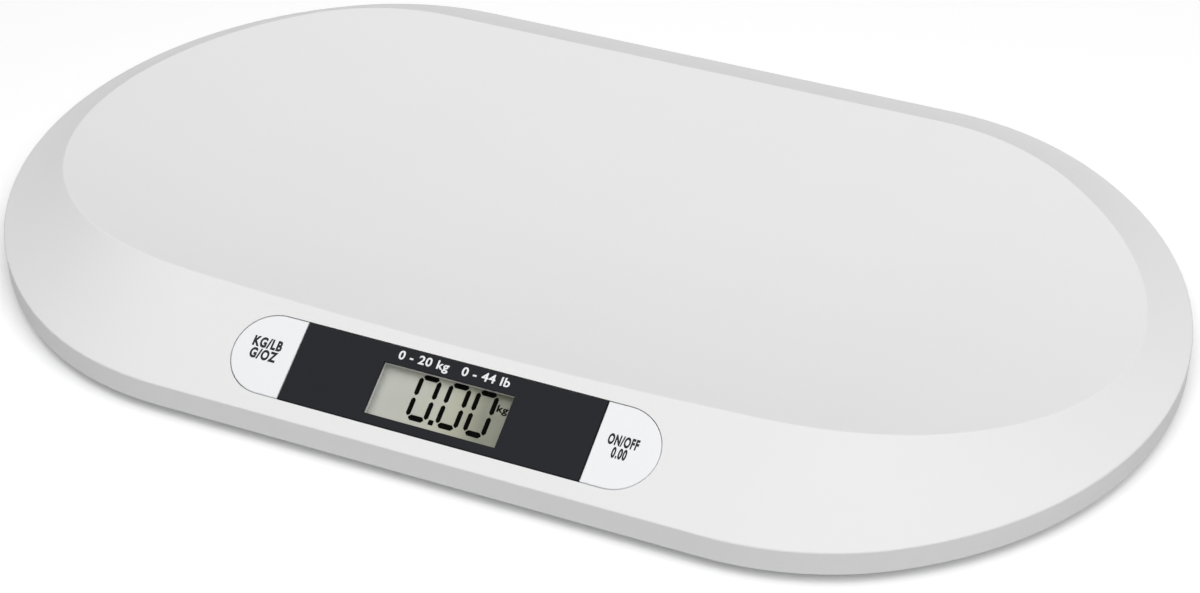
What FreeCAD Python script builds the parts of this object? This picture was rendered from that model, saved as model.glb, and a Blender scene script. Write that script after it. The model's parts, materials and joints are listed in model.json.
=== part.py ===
import FreeCAD, Part
import math
import os

# Digital baby weighing scale: one white pan shell over a lower housing that stands on four load-cell feet.
# Millimetres. +Z is up, X runs along the length, and the display slope faces -Y.
# The origin is on the floor, under the middle of the outline.

V = FreeCAD.Vector
UP = V(0, 0, 1)
ORIGIN = V(0, 0, 0)

# ------------------------------------------------------------------ outline and heights
HALF_LENGTH = 275.0          # rim edge, middle of the object to its round end
HALF_WIDTH = 170.0           # rim edge, middle to the straight side
END_FLATTENING = 8.0         # how much larger the end arc's radius is than the half width
END_RADIUS = HALF_WIDTH + END_FLATTENING
SHOULDER_RADIUS = 131.0      # smaller arc between a side and an end
WALL = 2.5                   # moulded shell
FIT = 0.3                    # gap between parts that drop into each other
SLIDE_GAP = 0.35             # gap round a part that moves
SKIRT_BOTTOM = 5.0
SKIRT_HEIGHT = 11.0
EDGE_Z = SKIRT_BOTTOM + SKIRT_HEIGHT
EDGE_ROUND = 0.8
CREST_ROUND = 1.1
CUT_PAST = 1.0               # how far a cut runs past the face that it opens
FLAT_SPARE = 0.1             # what the end of a rounded bar keeps flat

# Rim: it climbs from the rim edge to the crest of the pan. Slopes are tangents at the rim edge, and in
# section the rim is a parabola that steepens towards the crest. The front is flat, for the display.
FRONT_TILT = 29.5
END_SLOPE = 0.463
BACK_SLOPE = 0.321
RIM_HOLLOW = 128.5           # radius of the parabola where it would be level
RIM_MIDDLE = 11.0            # heights of the rim's sections above the rim edge
RIM_TOP = 36.0

# Pan: a dish with one radius across the scale and a much larger one along it.
PAN_RISE = 2.0               # lowest point of the dish above the rim edge
PAN_FLOOR = EDGE_Z + PAN_RISE
PAN_LOW_Y = 14.0             # the lowest line of the dish lies a little behind the middle
PAN_RADIUS_ACROSS = 441.0
PAN_RADIUS_ALONG = 3627.0
PAN_TOOL_REACH = 42.0        # the dish-shaped tool beyond the object's ends

# Ribs and bosses under the pan
RIB_THICKNESS = 1.6
RIB_DEPTH = 7.0
RIB_PITCH_X = 50.0
RIB_PITCH_Y = 42.0
RIB_INSET = 60.0             # no rib stands nearer to the rim edge
RIB_MIDDLE_Y = 10.0
BOSS_RADIUS = 4.0

# ------------------------------------------------------------------ display panel on the front slope
PANEL_UP = 26.2              # middle of the panel, measured up the slope from the rim edge
PANEL_RADIUS = 18.05         # half height of the panel, and the radius of its round ends
PANEL_HALF = 96.2            # half length with both buttons
BEZEL_HALF = 68.0
BEZEL_THICKNESS = 2.0
BEZEL_CHAMFER = 0.3
TAPE_THICKNESS = 0.2
TAPE_EDGE = 1.0              # tape set back from the bezel's edge
WELL_FLOOR = 1.8             # shell material under the bezel
WELL_MARGIN = 3.0            # thick shell round the panel
WELL_STEP = 0.4              # opening in the well's floor beyond the visible window
WINDOW_HALF_X = 29.65
WINDOW_HALF_Y = 11.85
WINDOW_DROP = -1.95          # the window sits a little below the panel's middle
WINDOW_REBATE = 1.8          # the clear window's edge under the bezel
LENS_THICKNESS = 1.2
GLASS_MARGIN = 3.6           # glass beyond the visible window
GLASS_THICKNESS = 2.8
GLASS_GAP = 0.2
BACKING_THICKNESS = 0.3
CARRIER_WALL = 1.4
BACKING_MARGIN = 1.0         # reflector beyond the visible window
STRIP_WIDTH = 2.0
STRIP_INSET = 0.45           # contact strips, in from the glass's edge
STRIP_Y = WINDOW_HALF_Y + GLASS_MARGIN - STRIP_INSET - STRIP_WIDTH / 2
BUTTON_STEM_SETBACK = 12.0   # a button's stem beyond the bezel's end
BUTTON_STEM_X = BEZEL_HALF + BUTTON_STEM_SETBACK
BOARD_BEYOND_STEM = 8.0
BOARD_HALF_X = BUTTON_STEM_X + BOARD_BEYOND_STEM
BOARD_HALF_Y = 19.5
BOARD_THICKNESS = 1.6
BOARD_DEPTH = 10.0           # top of the board below the panel's face
BOARD_CORNER = 3.0
BOARD_SCREW_X = 47.0
BOARD_SCREW_Y = 11.0
BOARD_BAY = 6.0              # free space kept round the board
BLOB_RADIUS = 7.0
BLOB_HEIGHT = 1.6
CRYSTAL_HALF_X = 5.5
CRYSTAL_HALF_Y = 2.0
CRYSTAL_HEIGHT = 3.0
CRYSTAL_X = 22.0
CAPACITOR_RADIUS = 2.5
CAPACITOR_HEIGHT = 4.0
CAPACITOR_X = (22.0, 33.0)
TALL_ROW_Y = 4.0             # the row of the crystal and the capacitors
RESISTOR = (2.0, 1.2, 0.6)   # length, width, height
RESISTOR_PITCH = 4.0
RESISTORS_IN_ROW = 6
RESISTOR_ROW_Y = 12.0

# ------------------------------------------------------------------ buttons
BUTTON_TRAVEL = 0.6
BUTTON_PLAY = 0.3            # between the flange and the shell
BUTTON_ROUND = 0.5
BUTTON_WEB = 1.0
BUTTON_WEB_DEPTH = 3.6
BUTTON_TOP = 1.6
BUTTON_WALL = 1.3
BUTTON_FLANGE = 1.2          # how far the retaining flange reaches under the shell
BUTTON_FLANGE_THICKNESS = 1.0
BUTTON_STEM_RADIUS = 2.6
SWITCH_SIZE = 6.0
SWITCH_BODY = 3.5
PLUNGER_RADIUS = 1.7
PLUNGER_PROUD = 1.5
PLUNGER_GAP = 0.2
SWITCH_CAVITY = 2.2

# ------------------------------------------------------------------ lower housing
COVER_WALL = 2.0
BASE_INSET = 16.0            # lowered base, in from the rim edge
BASE_Z = 3.0                 # underside of the base above the floor
BASE_DRAFT = 3.0
LIP_THICKNESS = 1.6
LIP_HEIGHT = 5.0
COVER_RIB_THICKNESS = 1.4
COVER_RIB_PITCH = 55.0
COVER_RIB_INSET = 40.0       # no rib stands nearer to the rim edge
CASE_POST_RADIUS = 5.0
CASE_JOINT_Z = 8.0           # where the shell's bosses meet the cover's posts
CASE_END_INSET = 53.0        # case screws at the ends, in from the rim edge
CASE_END_Y = 52.0
CASE_BACK_INSET = 32.0       # case screws at the back and front, in from the rim edge
CASE_FRONT_INSET = 38.0
CASE_CELL_GAP = 48.0         # those screws, from the load cells towards the middle
CASE_MIDDLE = (62.0, 20.0)

# ------------------------------------------------------------------ load cells and feet
CELL_END_INSET = 109.0       # middle of a load cell, in from the rim edge at the end
CELL_SIDE_INSET = 78.0       # and in from the straight side
CELL_X = HALF_LENGTH - CELL_END_INSET
CELL_Y = HALF_WIDTH - CELL_SIDE_INSET
CELL_SIZE = 34.0
CELL_THICKNESS = 2.5
CELL_CORNER = 4.0
CELL_SLOT = 1.6
TONGUE_WIDTH = 13.0
FOOT_RADIUS = 15.0
FOOT_GAP = 1.0
FOOT_ROUND = 0.6
PAD_BORDER = 2.0             # the foot's edge round its pad
PAD_RADIUS = FOOT_RADIUS - PAD_BORDER
PAD_ROUND = 0.4
PAD_GROOVE = 0.5             # radius of the pad's round groove
PAD_GROOVE_INSET = 5.0
PAD_PROUD = 1.2
PAD_SEAT = 1.0               # depth of the foot's recess that holds the pad
FOOT_BODY = 5.0
CELL_LIFT = 0.2              # underside of the load cell above the posts that carry its bracket
CELL_Z = CASE_JOINT_Z + CELL_LIFT
FOOT_STUB_RADIUS = 4.0
FOOT_PIN_RADIUS = 1.6
PIN_GAP = 0.1
SOCKET_WALL = 1.8
SOCKET_HEIGHT = 2.2
BRACKET_TOP = 2.2
BRACKET_WALL = 1.8
BRACKET_EAR = 9.0
BRACKET_SCREW_GAP = 7.4      # from the bracket's wall to its screw
BRACKET_SCREW_X = CELL_SIZE / 2 + FIT + BRACKET_WALL + BRACKET_SCREW_GAP
BRACKET_POST_RADIUS = 3.6
BRACKET_WINDOW = 11.0        # half width of the opening over the tongue
BRACKET_NIB = 0.9
NIB_PLAY = 0.1               # between those nibs and the load cell
BRACKET_GRIP = 0.6           # the bracket's walls below the load cell
TONGUE_REACH = 9.0           # the tongue is free from -REACH to +REACH
GAUGE_SETBACK = 3.0          # gauges beyond the tongue's root
GAUGE_Y = TONGUE_REACH + GAUGE_SETBACK
GAUGE_HALF_X = 3.5
GAUGE_HALF_Y = 2.4
GAUGE_HEIGHT = 2.2

# ------------------------------------------------------------------ battery box
BATTERY_RADIUS = 5.15
BATTERY_BODY = 43.4
BATTERY_NUB = 1.1
BATTERY_NUB_RADIUS = 1.9
CELL_EDGE = 0.4
BATTERY_SPACE = 0.9          # between one cell and the next
BATTERY_PITCH = 2 * BATTERY_RADIUS + BATTERY_SPACE
BATTERY_LANES = ("front", "middle", "back")
BATTERY_INSET = 88.0         # middle of the battery box, in from the front rim edge
BATTERY_CENTRE_Y = BATTERY_INSET - HALF_WIDTH
BATTERY_SIDE = 0.8           # play beside the outer cells
BATTERY_BED = 0.6            # play between the door and the cells
BATTERY_ROOF = 0.8           # play above the cells
CRADLE_X = 12.0              # cradles that hold the cells, either side of the middle
CRADLE_THICKNESS = 1.4
CRADLE_GAP = 0.15
BOX_WALL = 1.6
PLATE_THICKNESS = 0.5
PLATE_HALF = 3.5
TAG_WIDTH = 2.0
TAG_THICKNESS = 0.8
TAG_PROUD = 1.0
SPRING_LENGTH = 4.2
CONTACT_BUMP = 2.3           # bump on a plate that meets a cell's positive end
BUMP_BASE = 2.5
BUMP_TIP = 1.5
SPRING_WIRE = 0.35
SPRING_TURNS = 2.5
SPRING_WIDE = 2.8
SPRING_NARROW = 1.7
DOOR_THICKNESS = 2.0
DOOR_OVERLAP = 2.2           # door beyond the cavity
DOOR_GAP = 0.2               # between the door and the edges it closes into
DOOR_CORNER = 3.0
LATCH_BAY = 8.0              # door beyond the cavity at the latch end
HOOK_WIDTH = 8.0
HOOK_Y = 9.0
HOOK_REACH = 3.1
HOOK_THICKNESS = 1.4
HOOK_NECK = 2.0
LATCH_WIDTH = 11.0
LATCH_HEIGHT = 6.0
LATCH_THICKNESS = 1.2
LATCH_NIB = 0.5
LATCH_NIB_HEIGHT = 1.0
LATCH_INSET = 1.0            # latch finger, in from the door's end
LATCH_SLOT = 0.6             # slot round the latch finger
HOOK_ROOM = 3.3              # room for the hooks above the door
HOOK_SWING = 0.9             # room in front of the hooks, for when the door swings open
HOOK_SIDE = 0.6              # room beside the hooks
PRESS_SETBACK = 1.0          # the door's pressing ribs, in from the cavity's sides
PRESS_PLAY = 0.1             # between those ribs and the cells

# ------------------------------------------------------------------ screws and leads
SCREW_HEAD_RADIUS = 3.1
SCREW_HEAD = 1.9
SCREW_RADIUS = 1.45
SCREW_LENGTH = 8.5
SCREW_HOLE = 1.8             # clearance hole radius in a post
SCREW_SEAT = 2.6             # post material under the head
SCREW_ROOM = 0.5             # round a screw head
PILOT_SPARE = 0.8            # pilot hole beyond a screw's point
HEAD_BEVEL = 0.35            # shares of a screw head: its bevel and its slot
SLOT_REACH = 0.55
SLOT_WIDTH = 0.4
SLOT_DEPTH = 0.6
POINT_BLUNT = 0.3            # a screw's point, as a share of its shank
SMALL_HEAD_RADIUS = 2.2
SMALL_HEAD = 1.4
SMALL_SCREW_RADIUS = 1.05
SMALL_SCREW_LENGTH = 5.5
SMALL_HOLE = 1.3
LEAD_RADIUS = 1.1
LEAD_BEND = 2.6
LEAD_NOTCH = 3.2             # half width of the notch that a lead leaves in the ribs
LEAD_PITCH = 5.25            # between the lanes in which the leads run to the board
LEAD_RISE_INSET = 24.0       # where the leads rise to the board, in from the front rim edge
LEAD_CLEAR = 5.0             # a lead's middle from the bracket or the battery door that it passes
POWER_LEAD_RADIUS = 0.7
POWER_LEAD_BEND = 2.4
POWER_RISE_INSET = 27.0

nodes = {}


# ================================================================== shapes that repeat
def box(low, high):
    """A block between two opposite corners."""
    return Part.makeBox(high[0] - low[0], high[1] - low[1], high[2] - low[2], V(*low))


def post(x, y, low, high, radius):
    """An upright cylinder."""
    return Part.makeCylinder(radius, high - low, V(x, y, low))


def rounded_plate(half_x, half_y, corner, low, high):
    """A flat plate with four round corners, centred on Z."""
    plate = box((-half_x, -half_y, low), (half_x, half_y, high))
    upright = [e for e in plate.Edges if abs(e.tangentAt(e.FirstParameter).z) > 0.9]
    return plate.makeFillet(corner, upright)


def fuse_all(shapes):
    """One shape from many."""
    shapes = list(shapes)
    return shapes[0].multiFuse(shapes[1:]) if len(shapes) > 1 else shapes[0]


def moved(shape, x=0.0, y=0.0, z=0.0):
    """A copy of a shape, moved."""
    copy = shape.copy()
    copy.translate(V(x, y, z))
    return copy


def oval(half_length, half_width, end_radius, shoulder_radius, z, shift_y=0.0):
    """The outline family: straight sides, shoulder arcs and end arcs, all tangent."""
    end_centre = half_length - end_radius
    rise = half_width - shoulder_radius
    reach = end_radius - shoulder_radius
    side_x = end_centre + math.sqrt(reach ** 2 - rise ** 2)
    turn = math.atan2(rise, side_x - end_centre)
    half_turn = (turn + math.pi / 2) / 2

    def end_point(angle):
        return end_centre + end_radius * math.cos(angle), end_radius * math.sin(angle)

    join = end_point(turn)
    shoulder = (side_x + shoulder_radius * math.cos(half_turn), rise + shoulder_radius * math.sin(half_turn))

    def at(point, sign_x, sign_y):
        return V(sign_x * point[0], sign_y * point[1] + shift_y, z)

    side = (side_x, half_width)
    tip = (half_length, 0.0)
    edges = []
    for sign in (1, -1):
        first_side, last_side = at(side, sign, -sign), at(side, sign, sign)
        first_join, last_join = at(join, sign, -sign), at(join, sign, sign)
        edges.append(Part.makeLine(at(side, -sign, -sign), first_side))
        edges.append(Part.Arc(first_side, at(shoulder, sign, -sign), first_join).toShape())
        edges.append(Part.Arc(first_join, at(tip, sign, 1), last_join).toShape())
        edges.append(Part.Arc(last_join, at(shoulder, sign, sign), last_side).toShape())
    return Part.Wire(edges)


def inset_oval(inset, z):
    """The rim edge's outline, moved inwards."""
    return oval(HALF_LENGTH - inset, HALF_WIDTH - inset, END_RADIUS - inset, SHOULDER_RADIUS - inset, z)


def slab(inset, low, high):
    """A flat slab with the inset outline."""
    return Part.Face(inset_oval(inset, low)).extrude(V(0, 0, high - low))


def hollow_run(height, slope):
    """How far in from the rim edge the hollow rim has climbed to a height."""
    return (math.sqrt(slope ** 2 + 2 * height / RIM_HOLLOW) - slope) * RIM_HOLLOW


def rim_section(height):
    """The rim's level outline at a height above the rim edge."""
    front = height / math.tan(math.radians(FRONT_TILT))
    back = hollow_run(height, BACK_SLOPE)
    end = hollow_run(height, END_SLOPE)
    half_width = HALF_WIDTH - (front + back) / 2
    radii = (END_RADIUS - end, SHOULDER_RADIUS - end)
    return oval(HALF_LENGTH - end, half_width, *radii, EDGE_Z + height, (front - back) / 2)


def pan_tool(deeper):
    """Everything above the dish, with the dish sunk evenly by a distance."""
    radius = PAN_RADIUS_ACROSS + deeper
    centre_z = PAN_FLOOR + PAN_RADIUS_ACROSS
    angle = math.asin((HALF_WIDTH + PAN_LOW_Y + WALL) / PAN_RADIUS_ACROSS)
    sweep = math.degrees(math.asin((HALF_LENGTH + PAN_TOOL_REACH) / PAN_RADIUS_ALONG))
    across, drop = radius * math.sin(angle), radius * math.cos(angle)
    left = V(0, PAN_LOW_Y - across, centre_z - drop)
    right = V(0, PAN_LOW_Y + across, centre_z - drop)
    lowest = V(0, PAN_LOW_Y, centre_z - radius)
    profile = Part.Face(Part.Wire([Part.Arc(left, lowest, right).toShape(), Part.makeLine(right, left)]))
    hub = V(0, 0, PAN_FLOOR + PAN_RADIUS_ALONG)
    profile.rotate(hub, V(0, 1, 0), -sweep)
    return profile.revolve(hub, V(0, 1, 0), 2 * sweep)


def rib_grid(pitch_x, pitch_y, inset, middle_y, thickness):
    """Crossed upright ribs, as many as fit inside the inset outline, and tall enough for any shell."""
    count_x = int((HALF_LENGTH - inset) // pitch_x)
    count_y = int((HALF_WIDTH - inset) // pitch_y)
    across = box((-thickness / 2, -HALF_WIDTH, 0), (thickness / 2, HALF_WIDTH, RIM_TOP + EDGE_Z))
    along = box((-HALF_LENGTH, -thickness / 2, 0), (HALF_LENGTH, thickness / 2, RIM_TOP + EDGE_Z))
    ribs = [moved(across, x=i * pitch_x) for i in range(-count_x, count_x + 1)]
    ribs += [moved(along, y=middle_y + j * pitch_y) for j in range(-count_y, count_y + 1)]
    return fuse_all(ribs)


def screw(head_radius, head, radius, length):
    """A self-tapping screw with a bevelled, cross-slotted head, its seat at the origin, pointing up."""
    bevel = head * HEAD_BEVEL
    top = Part.makeCone(head_radius - bevel, head_radius, bevel, V(0, 0, -head))
    rim = Part.makeCylinder(head_radius, head - bevel, V(0, 0, bevel - head))
    shank = Part.makeCylinder(radius, length - radius, ORIGIN)
    point = Part.makeCone(radius, radius * POINT_BLUNT, radius, V(0, 0, length - radius))
    reach, half = head_radius * SLOT_REACH, head * SLOT_WIDTH / 2
    slot = box((-reach, -half, -head), (reach, half, head * SLOT_DEPTH - head))
    cross = slot.fuse(slot.rotated(ORIGIN, UP, 90))
    return top.multiFuse([rim, shank, point]).cut(cross).removeSplitter()


# ================================================================== the panel's own frame
TILT = math.radians(FRONT_TILT)
FACE = FreeCAD.Placement(
    V(0, -HALF_WIDTH + PANEL_UP * math.cos(TILT), EDGE_Z + PANEL_UP * math.sin(TILT)),
    FreeCAD.Rotation(V(1, 0, 0), FRONT_TILT),
)


def on_panel(shape):
    """Carries a shape from the panel's frame (x along, y up the slope, z out of the face) to the object."""
    copy = shape.copy()
    copy.Placement = FACE.multiply(copy.Placement)
    return copy


def stadium(grow, low, high):
    """The panel's outline, grown evenly, between two depths."""
    radius = PANEL_RADIUS + grow
    half = PANEL_HALF - PANEL_RADIUS
    middle = box((-half, -radius, low), (half, radius, high))
    ends = [Part.makeCylinder(radius, high - low, V(side * half, 0, low)) for side in (-1, 1)]
    return middle.multiFuse(ends).removeSplitter()


def button_outline(grow, low, high):
    """The right-hand end of the panel beyond the bezel, grown evenly."""
    start = BEZEL_HALF + SLIDE_GAP - grow
    reach = 2 * PANEL_RADIUS
    beyond = box((start, -reach, low - CUT_PAST), (2 * PANEL_HALF, reach, high + CUT_PAST))
    return stadium(grow, low, high).common(beyond)


def window_box(grow, low, high):
    """The display opening, grown evenly."""
    return box(
        (-WINDOW_HALF_X - grow, WINDOW_DROP - WINDOW_HALF_Y - grow, low),
        (WINDOW_HALF_X + grow, WINDOW_DROP + WINDOW_HALF_Y + grow, high),
    )


# ================================================================== depths and lengths that follow
WELL_TOP = -BEZEL_THICKNESS - TAPE_THICKNESS
WELL_BOTTOM = WELL_TOP - WELL_FLOOR
GLASS_TOP = WELL_BOTTOM - GLASS_GAP
GLASS_BOTTOM = GLASS_TOP - GLASS_THICKNESS
BOARD_BOTTOM = -BOARD_DEPTH - BOARD_THICKNESS
SWITCH_TOP = -BOARD_DEPTH + SWITCH_BODY
PLUNGER_TOP = SWITCH_TOP + PLUNGER_PROUD
FLANGE_TOP = WELL_BOTTOM - BUTTON_PLAY
FLANGE_BOTTOM = FLANGE_TOP - BUTTON_FLANGE_THICKNESS
FLOOR_Z = BASE_Z + COVER_WALL                        # inner face of the lower housing
CELL_TOP = CELL_Z + CELL_THICKNESS
BATTERY_Z = FLOOR_Z + BATTERY_BED + BATTERY_RADIUS
PLATE_X = (SPRING_LENGTH + BATTERY_BODY + BATTERY_NUB + CONTACT_BUMP) / 2   # plate's face towards the cells
BATTERY_HALF_X = PLATE_X + PLATE_THICKNESS           # half length of the battery cavity
BATTERY_HALF_Y = BATTERY_PITCH + BATTERY_RADIUS + BATTERY_SIDE
ROOF_Z = BATTERY_Z + BATTERY_RADIUS + BATTERY_ROOF
BOX_TOP = ROOF_Z + BOX_WALL
DOOR_HINGE_X = -BATTERY_HALF_X - DOOR_OVERLAP
DOOR_LATCH_X = BATTERY_HALF_X + LATCH_BAY
DOOR_TOP = BASE_Z + DOOR_THICKNESS
DOOR_FACE = DOOR_LATCH_X + FIT                       # what the latch end of the door closes against
LATCH_OUTER = DOOR_LATCH_X - LATCH_INSET
NIB_LOW = DOOR_TOP + LATCH_HEIGHT / 2
POWER_LANE = DOOR_LATCH_X + LEAD_CLEAR
LEAD_LANE_BACK = POWER_LANE + LEAD_PITCH             # where the leads of the back cells run to the board
LEAD_LANE_FRONT = LEAD_LANE_BACK + LEAD_PITCH
LEAD_DROP = BRACKET_SCREW_X + BRACKET_EAR / 2 + LEAD_CLEAR   # where a cell's lead drops to the floor
LEAD_RISE_Y = LEAD_RISE_INSET - HALF_WIDTH
POWER_RISE_Y = POWER_RISE_INSET - HALF_WIDTH
LEAD_TOP = EDGE_Z + RIM_TOP / 2                      # a lead is drawn up to here, and trimmed at the board


def left_and_right(shape):
    """The mirror image of a shape from the right half, and the shape itself."""
    return shape.mirror(ORIGIN, V(1, 0, 0)), shape


def board_screw_places():
    """Where the board is screwed to the shell, in the panel's frame."""
    return [(sx * BOARD_SCREW_X, sy * BOARD_SCREW_Y) for sx in (-1, 1) for sy in (-1, 1)]


def case_screw_places():
    """Where the lower housing is screwed to the shell."""
    end_x = HALF_LENGTH - CASE_END_INSET
    side_x = CELL_X - CASE_CELL_GAP
    right = [
        (end_x, CASE_END_Y),
        (end_x, -CASE_END_Y),
        (side_x, HALF_WIDTH - CASE_BACK_INSET),
        (side_x, CASE_FRONT_INSET - HALF_WIDTH),
        CASE_MIDDLE,
    ]
    return [(sign * x, y) for x, y in right for sign in (-1, 1)]


def cell_places():
    """Name and middle of each load cell."""
    return [
        (f"{depth}_{side}", sx * CELL_X, sy * CELL_Y)
        for depth, sy in (("front", -1), ("back", 1))
        for side, sx in (("left", -1), ("right", 1))
    ]


# ================================================================== shell with the pan
def softened(block):
    """Rounds the rim edge, and then the crest, which is every edge of the dish."""
    solid = block.Solids[0]
    level = [e for e in solid.Edges if e.BoundBox.ZLength < 0.001 and abs(e.BoundBox.ZMin - EDGE_Z) < 0.001]
    solid = solid.makeFillet(EDGE_ROUND, level)
    dish = [f for f in solid.Faces if isinstance(f.Surface, Part.Toroid) and f.Area > HALF_WIDTH ** 2]
    return solid.makeFillet(CREST_ROUND, [e for f in dish for e in f.Edges])


def pan_ribs():
    """Crossed ribs that hang from the pan, clear of the display's board and of the battery box."""
    ribs = rib_grid(RIB_PITCH_X, RIB_PITCH_Y, RIB_INSET, RIB_MIDDLE_Y, RIB_THICKNESS)
    half_x, half_y = BOARD_HALF_X + BOARD_BAY, BOARD_HALF_Y + BOARD_BAY
    board_bay = on_panel(box((-half_x, -half_y, BOARD_BOTTOM - BOARD_BAY), (half_x, half_y, WELL_BOTTOM)))
    battery_bay = battery_block(BOX_WALL + RIB_THICKNESS, 0.0, BOX_TOP + RIB_THICKNESS)
    return ribs.common(pan_tool(WALL + RIB_DEPTH)).cut([board_bay, battery_bay])


def top_shell():
    rim = Part.makeLoft([rim_section(h) for h in (0.0, RIM_MIDDLE, RIM_TOP)], True, False)
    body = slab(0.0, SKIRT_BOTTOM, EDGE_Z).fuse(rim)
    outside = softened(body.cut(pan_tool(0.0)))

    # The cavity: the body lowered by the wall, within the skirt's inner face and under the pan's underside.
    sink = WALL / math.cos(TILT)
    cavity = moved(body, z=-sink).fuse(slab(0.0, SKIRT_BOTTOM - 2 * WALL, SKIRT_BOTTOM))
    cavity = cavity.common(slab(WALL, SKIRT_BOTTOM - WALL, EDGE_Z + RIM_TOP))
    cavity = cavity.cut(pan_tool(WALL))

    # What stays of it as ribs, bosses and the thick floor behind the display panel.
    bosses = [post(x, y, CASE_JOINT_Z, EDGE_Z + RIM_TOP, BOSS_RADIUS) for x, y in case_screw_places()]
    well = on_panel(stadium(WELL_MARGIN, WELL_BOTTOM, 0.0))
    stands = [post(x, y, -BOARD_DEPTH, WELL_BOTTOM, BOSS_RADIUS) for x, y in board_screw_places()]
    cavity = cavity.cut([pan_ribs(), well] + bosses + [on_panel(stand) for stand in stands])
    shell = outside.cut(cavity)

    # Pocket for the bezel, opening over the display, a hole for each button, and pilot holes for the screws.
    flat_cuts = [stadium(SLIDE_GAP, WELL_TOP, CUT_PAST), window_box(WELL_STEP, WELL_BOTTOM - CUT_PAST, 0.0)]
    flat_cuts += left_and_right(button_outline(SLIDE_GAP, WELL_BOTTOM - CUT_PAST, 0.0))
    for x, y in board_screw_places():
        flat_cuts.append(post(x, y, -BOARD_DEPTH - CUT_PAST, WELL_BOTTOM, SMALL_SCREW_RADIUS))
    cuts = [on_panel(cut) for cut in flat_cuts]
    pilot_top = CASE_JOINT_Z + SCREW_LENGTH - SCREW_SEAT + PILOT_SPARE
    for x, y in case_screw_places():
        cuts.append(post(x, y, CASE_JOINT_Z - CUT_PAST, pilot_top, SCREW_RADIUS))
    return shell.cut(cuts)


# ================================================================== display
def display_bezel():
    plate = box((-BEZEL_HALF, -PANEL_RADIUS, -BEZEL_THICKNESS), (BEZEL_HALF, PANEL_RADIUS, 0.0))
    plate = plate.makeChamfer(BEZEL_CHAMFER, [e for e in plate.Edges if e.BoundBox.ZMin > -0.001])
    rebate = window_box(WINDOW_REBATE, -BEZEL_THICKNESS, LENS_THICKNESS - BEZEL_THICKNESS)
    return plate.cut([window_box(0.0, -BEZEL_THICKNESS, 0.0), rebate])


def display_window():
    return window_box(WINDOW_REBATE - FIT / 2, -BEZEL_THICKNESS, LENS_THICKNESS - BEZEL_THICKNESS)


def bezel_tape():
    """Adhesive sheet between the bezel and the well, open over the window."""
    half_x, half_y = BEZEL_HALF - TAPE_EDGE, PANEL_RADIUS - TAPE_EDGE
    sheet = box((-half_x, -half_y, WELL_TOP), (half_x, half_y, -BEZEL_THICKNESS))
    return sheet.cut(window_box(WELL_STEP, WELL_TOP, -BEZEL_THICKNESS))


def lcd_glass():
    return window_box(GLASS_MARGIN, GLASS_BOTTOM, GLASS_TOP)


def lcd_backing():
    """Reflector under the glass, between the contact strips."""
    half_y = STRIP_Y - STRIP_WIDTH
    half_x = WINDOW_HALF_X + BACKING_MARGIN
    low = (-half_x, WINDOW_DROP - half_y, GLASS_BOTTOM - BACKING_THICKNESS)
    return box(low, (half_x, WINDOW_DROP + half_y, GLASS_BOTTOM))


def lcd_contact_strips():
    """Two rubber strips that carry the contacts from the board to the glass."""
    strips = []
    for middle in (WINDOW_DROP - STRIP_Y, WINDOW_DROP + STRIP_Y):
        low = (-WINDOW_HALF_X, middle - STRIP_WIDTH / 2, -BOARD_DEPTH)
        strips.append(box(low, (WINDOW_HALF_X, middle + STRIP_WIDTH / 2, GLASS_BOTTOM)))
    return Part.makeCompound(strips)


def lcd_frame():
    """A frame round the glass, with a ledge under each end of it."""
    inside = GLASS_MARGIN + GLASS_GAP
    top = WELL_BOTTOM - FIT
    ring = window_box(inside + CARRIER_WALL, -BOARD_DEPTH, top).cut(window_box(inside, -BOARD_DEPTH, top))
    start, end = WINDOW_HALF_X + GLASS_MARGIN - STRIP_WIDTH, WINDOW_HALF_X + inside + CARRIER_WALL
    span = WINDOW_HALF_Y + inside
    ledge = box((start, WINDOW_DROP - span, -BOARD_DEPTH), (end, WINDOW_DROP + span, GLASS_BOTTOM))
    return ring.multiFuse(left_and_right(ledge)).removeSplitter()


def main_board():
    board = rounded_plate(BOARD_HALF_X, BOARD_HALF_Y, BOARD_CORNER, BOARD_BOTTOM, -BOARD_DEPTH)
    return board.cut([post(x, y, BOARD_BOTTOM, -BOARD_DEPTH, SMALL_HOLE) for x, y in board_screw_places()])


def controller_chip():
    """A low dome of epoxy over the bonded chip, on the back of the board."""
    radius = (BLOB_RADIUS ** 2 + BLOB_HEIGHT ** 2) / (2 * BLOB_HEIGHT)
    ball = Part.makeSphere(radius, V(0, 0, BOARD_BOTTOM + radius - BLOB_HEIGHT))
    return ball.common(post(0.0, 0.0, BOARD_BOTTOM - radius, BOARD_BOTTOM, radius))


def board_components():
    """On the back of the board: a crystal, two capacitors and two rows of resistors."""
    corner = CRYSTAL_HALF_Y - FLAT_SPARE
    crystal = rounded_plate(CRYSTAL_HALF_X, CRYSTAL_HALF_Y, corner, -CRYSTAL_HEIGHT, 0.0)
    parts = [moved(crystal, CRYSTAL_X, TALL_ROW_Y, BOARD_BOTTOM)]
    for x in CAPACITOR_X:
        parts.append(post(-x, TALL_ROW_Y, BOARD_BOTTOM - CAPACITOR_HEIGHT, BOARD_BOTTOM, CAPACITOR_RADIUS))
    length, width, height = RESISTOR
    chip = box((-length / 2, -width / 2, BOARD_BOTTOM - height), (length / 2, width / 2, BOARD_BOTTOM))
    for y in (-RESISTOR_ROW_Y, RESISTOR_ROW_Y):
        for i in range(RESISTORS_IN_ROW):
            parts.append(moved(chip, x=(i - (RESISTORS_IN_ROW - 1) / 2) * RESISTOR_PITCH, y=y))
    return Part.makeCompound(parts)


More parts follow.
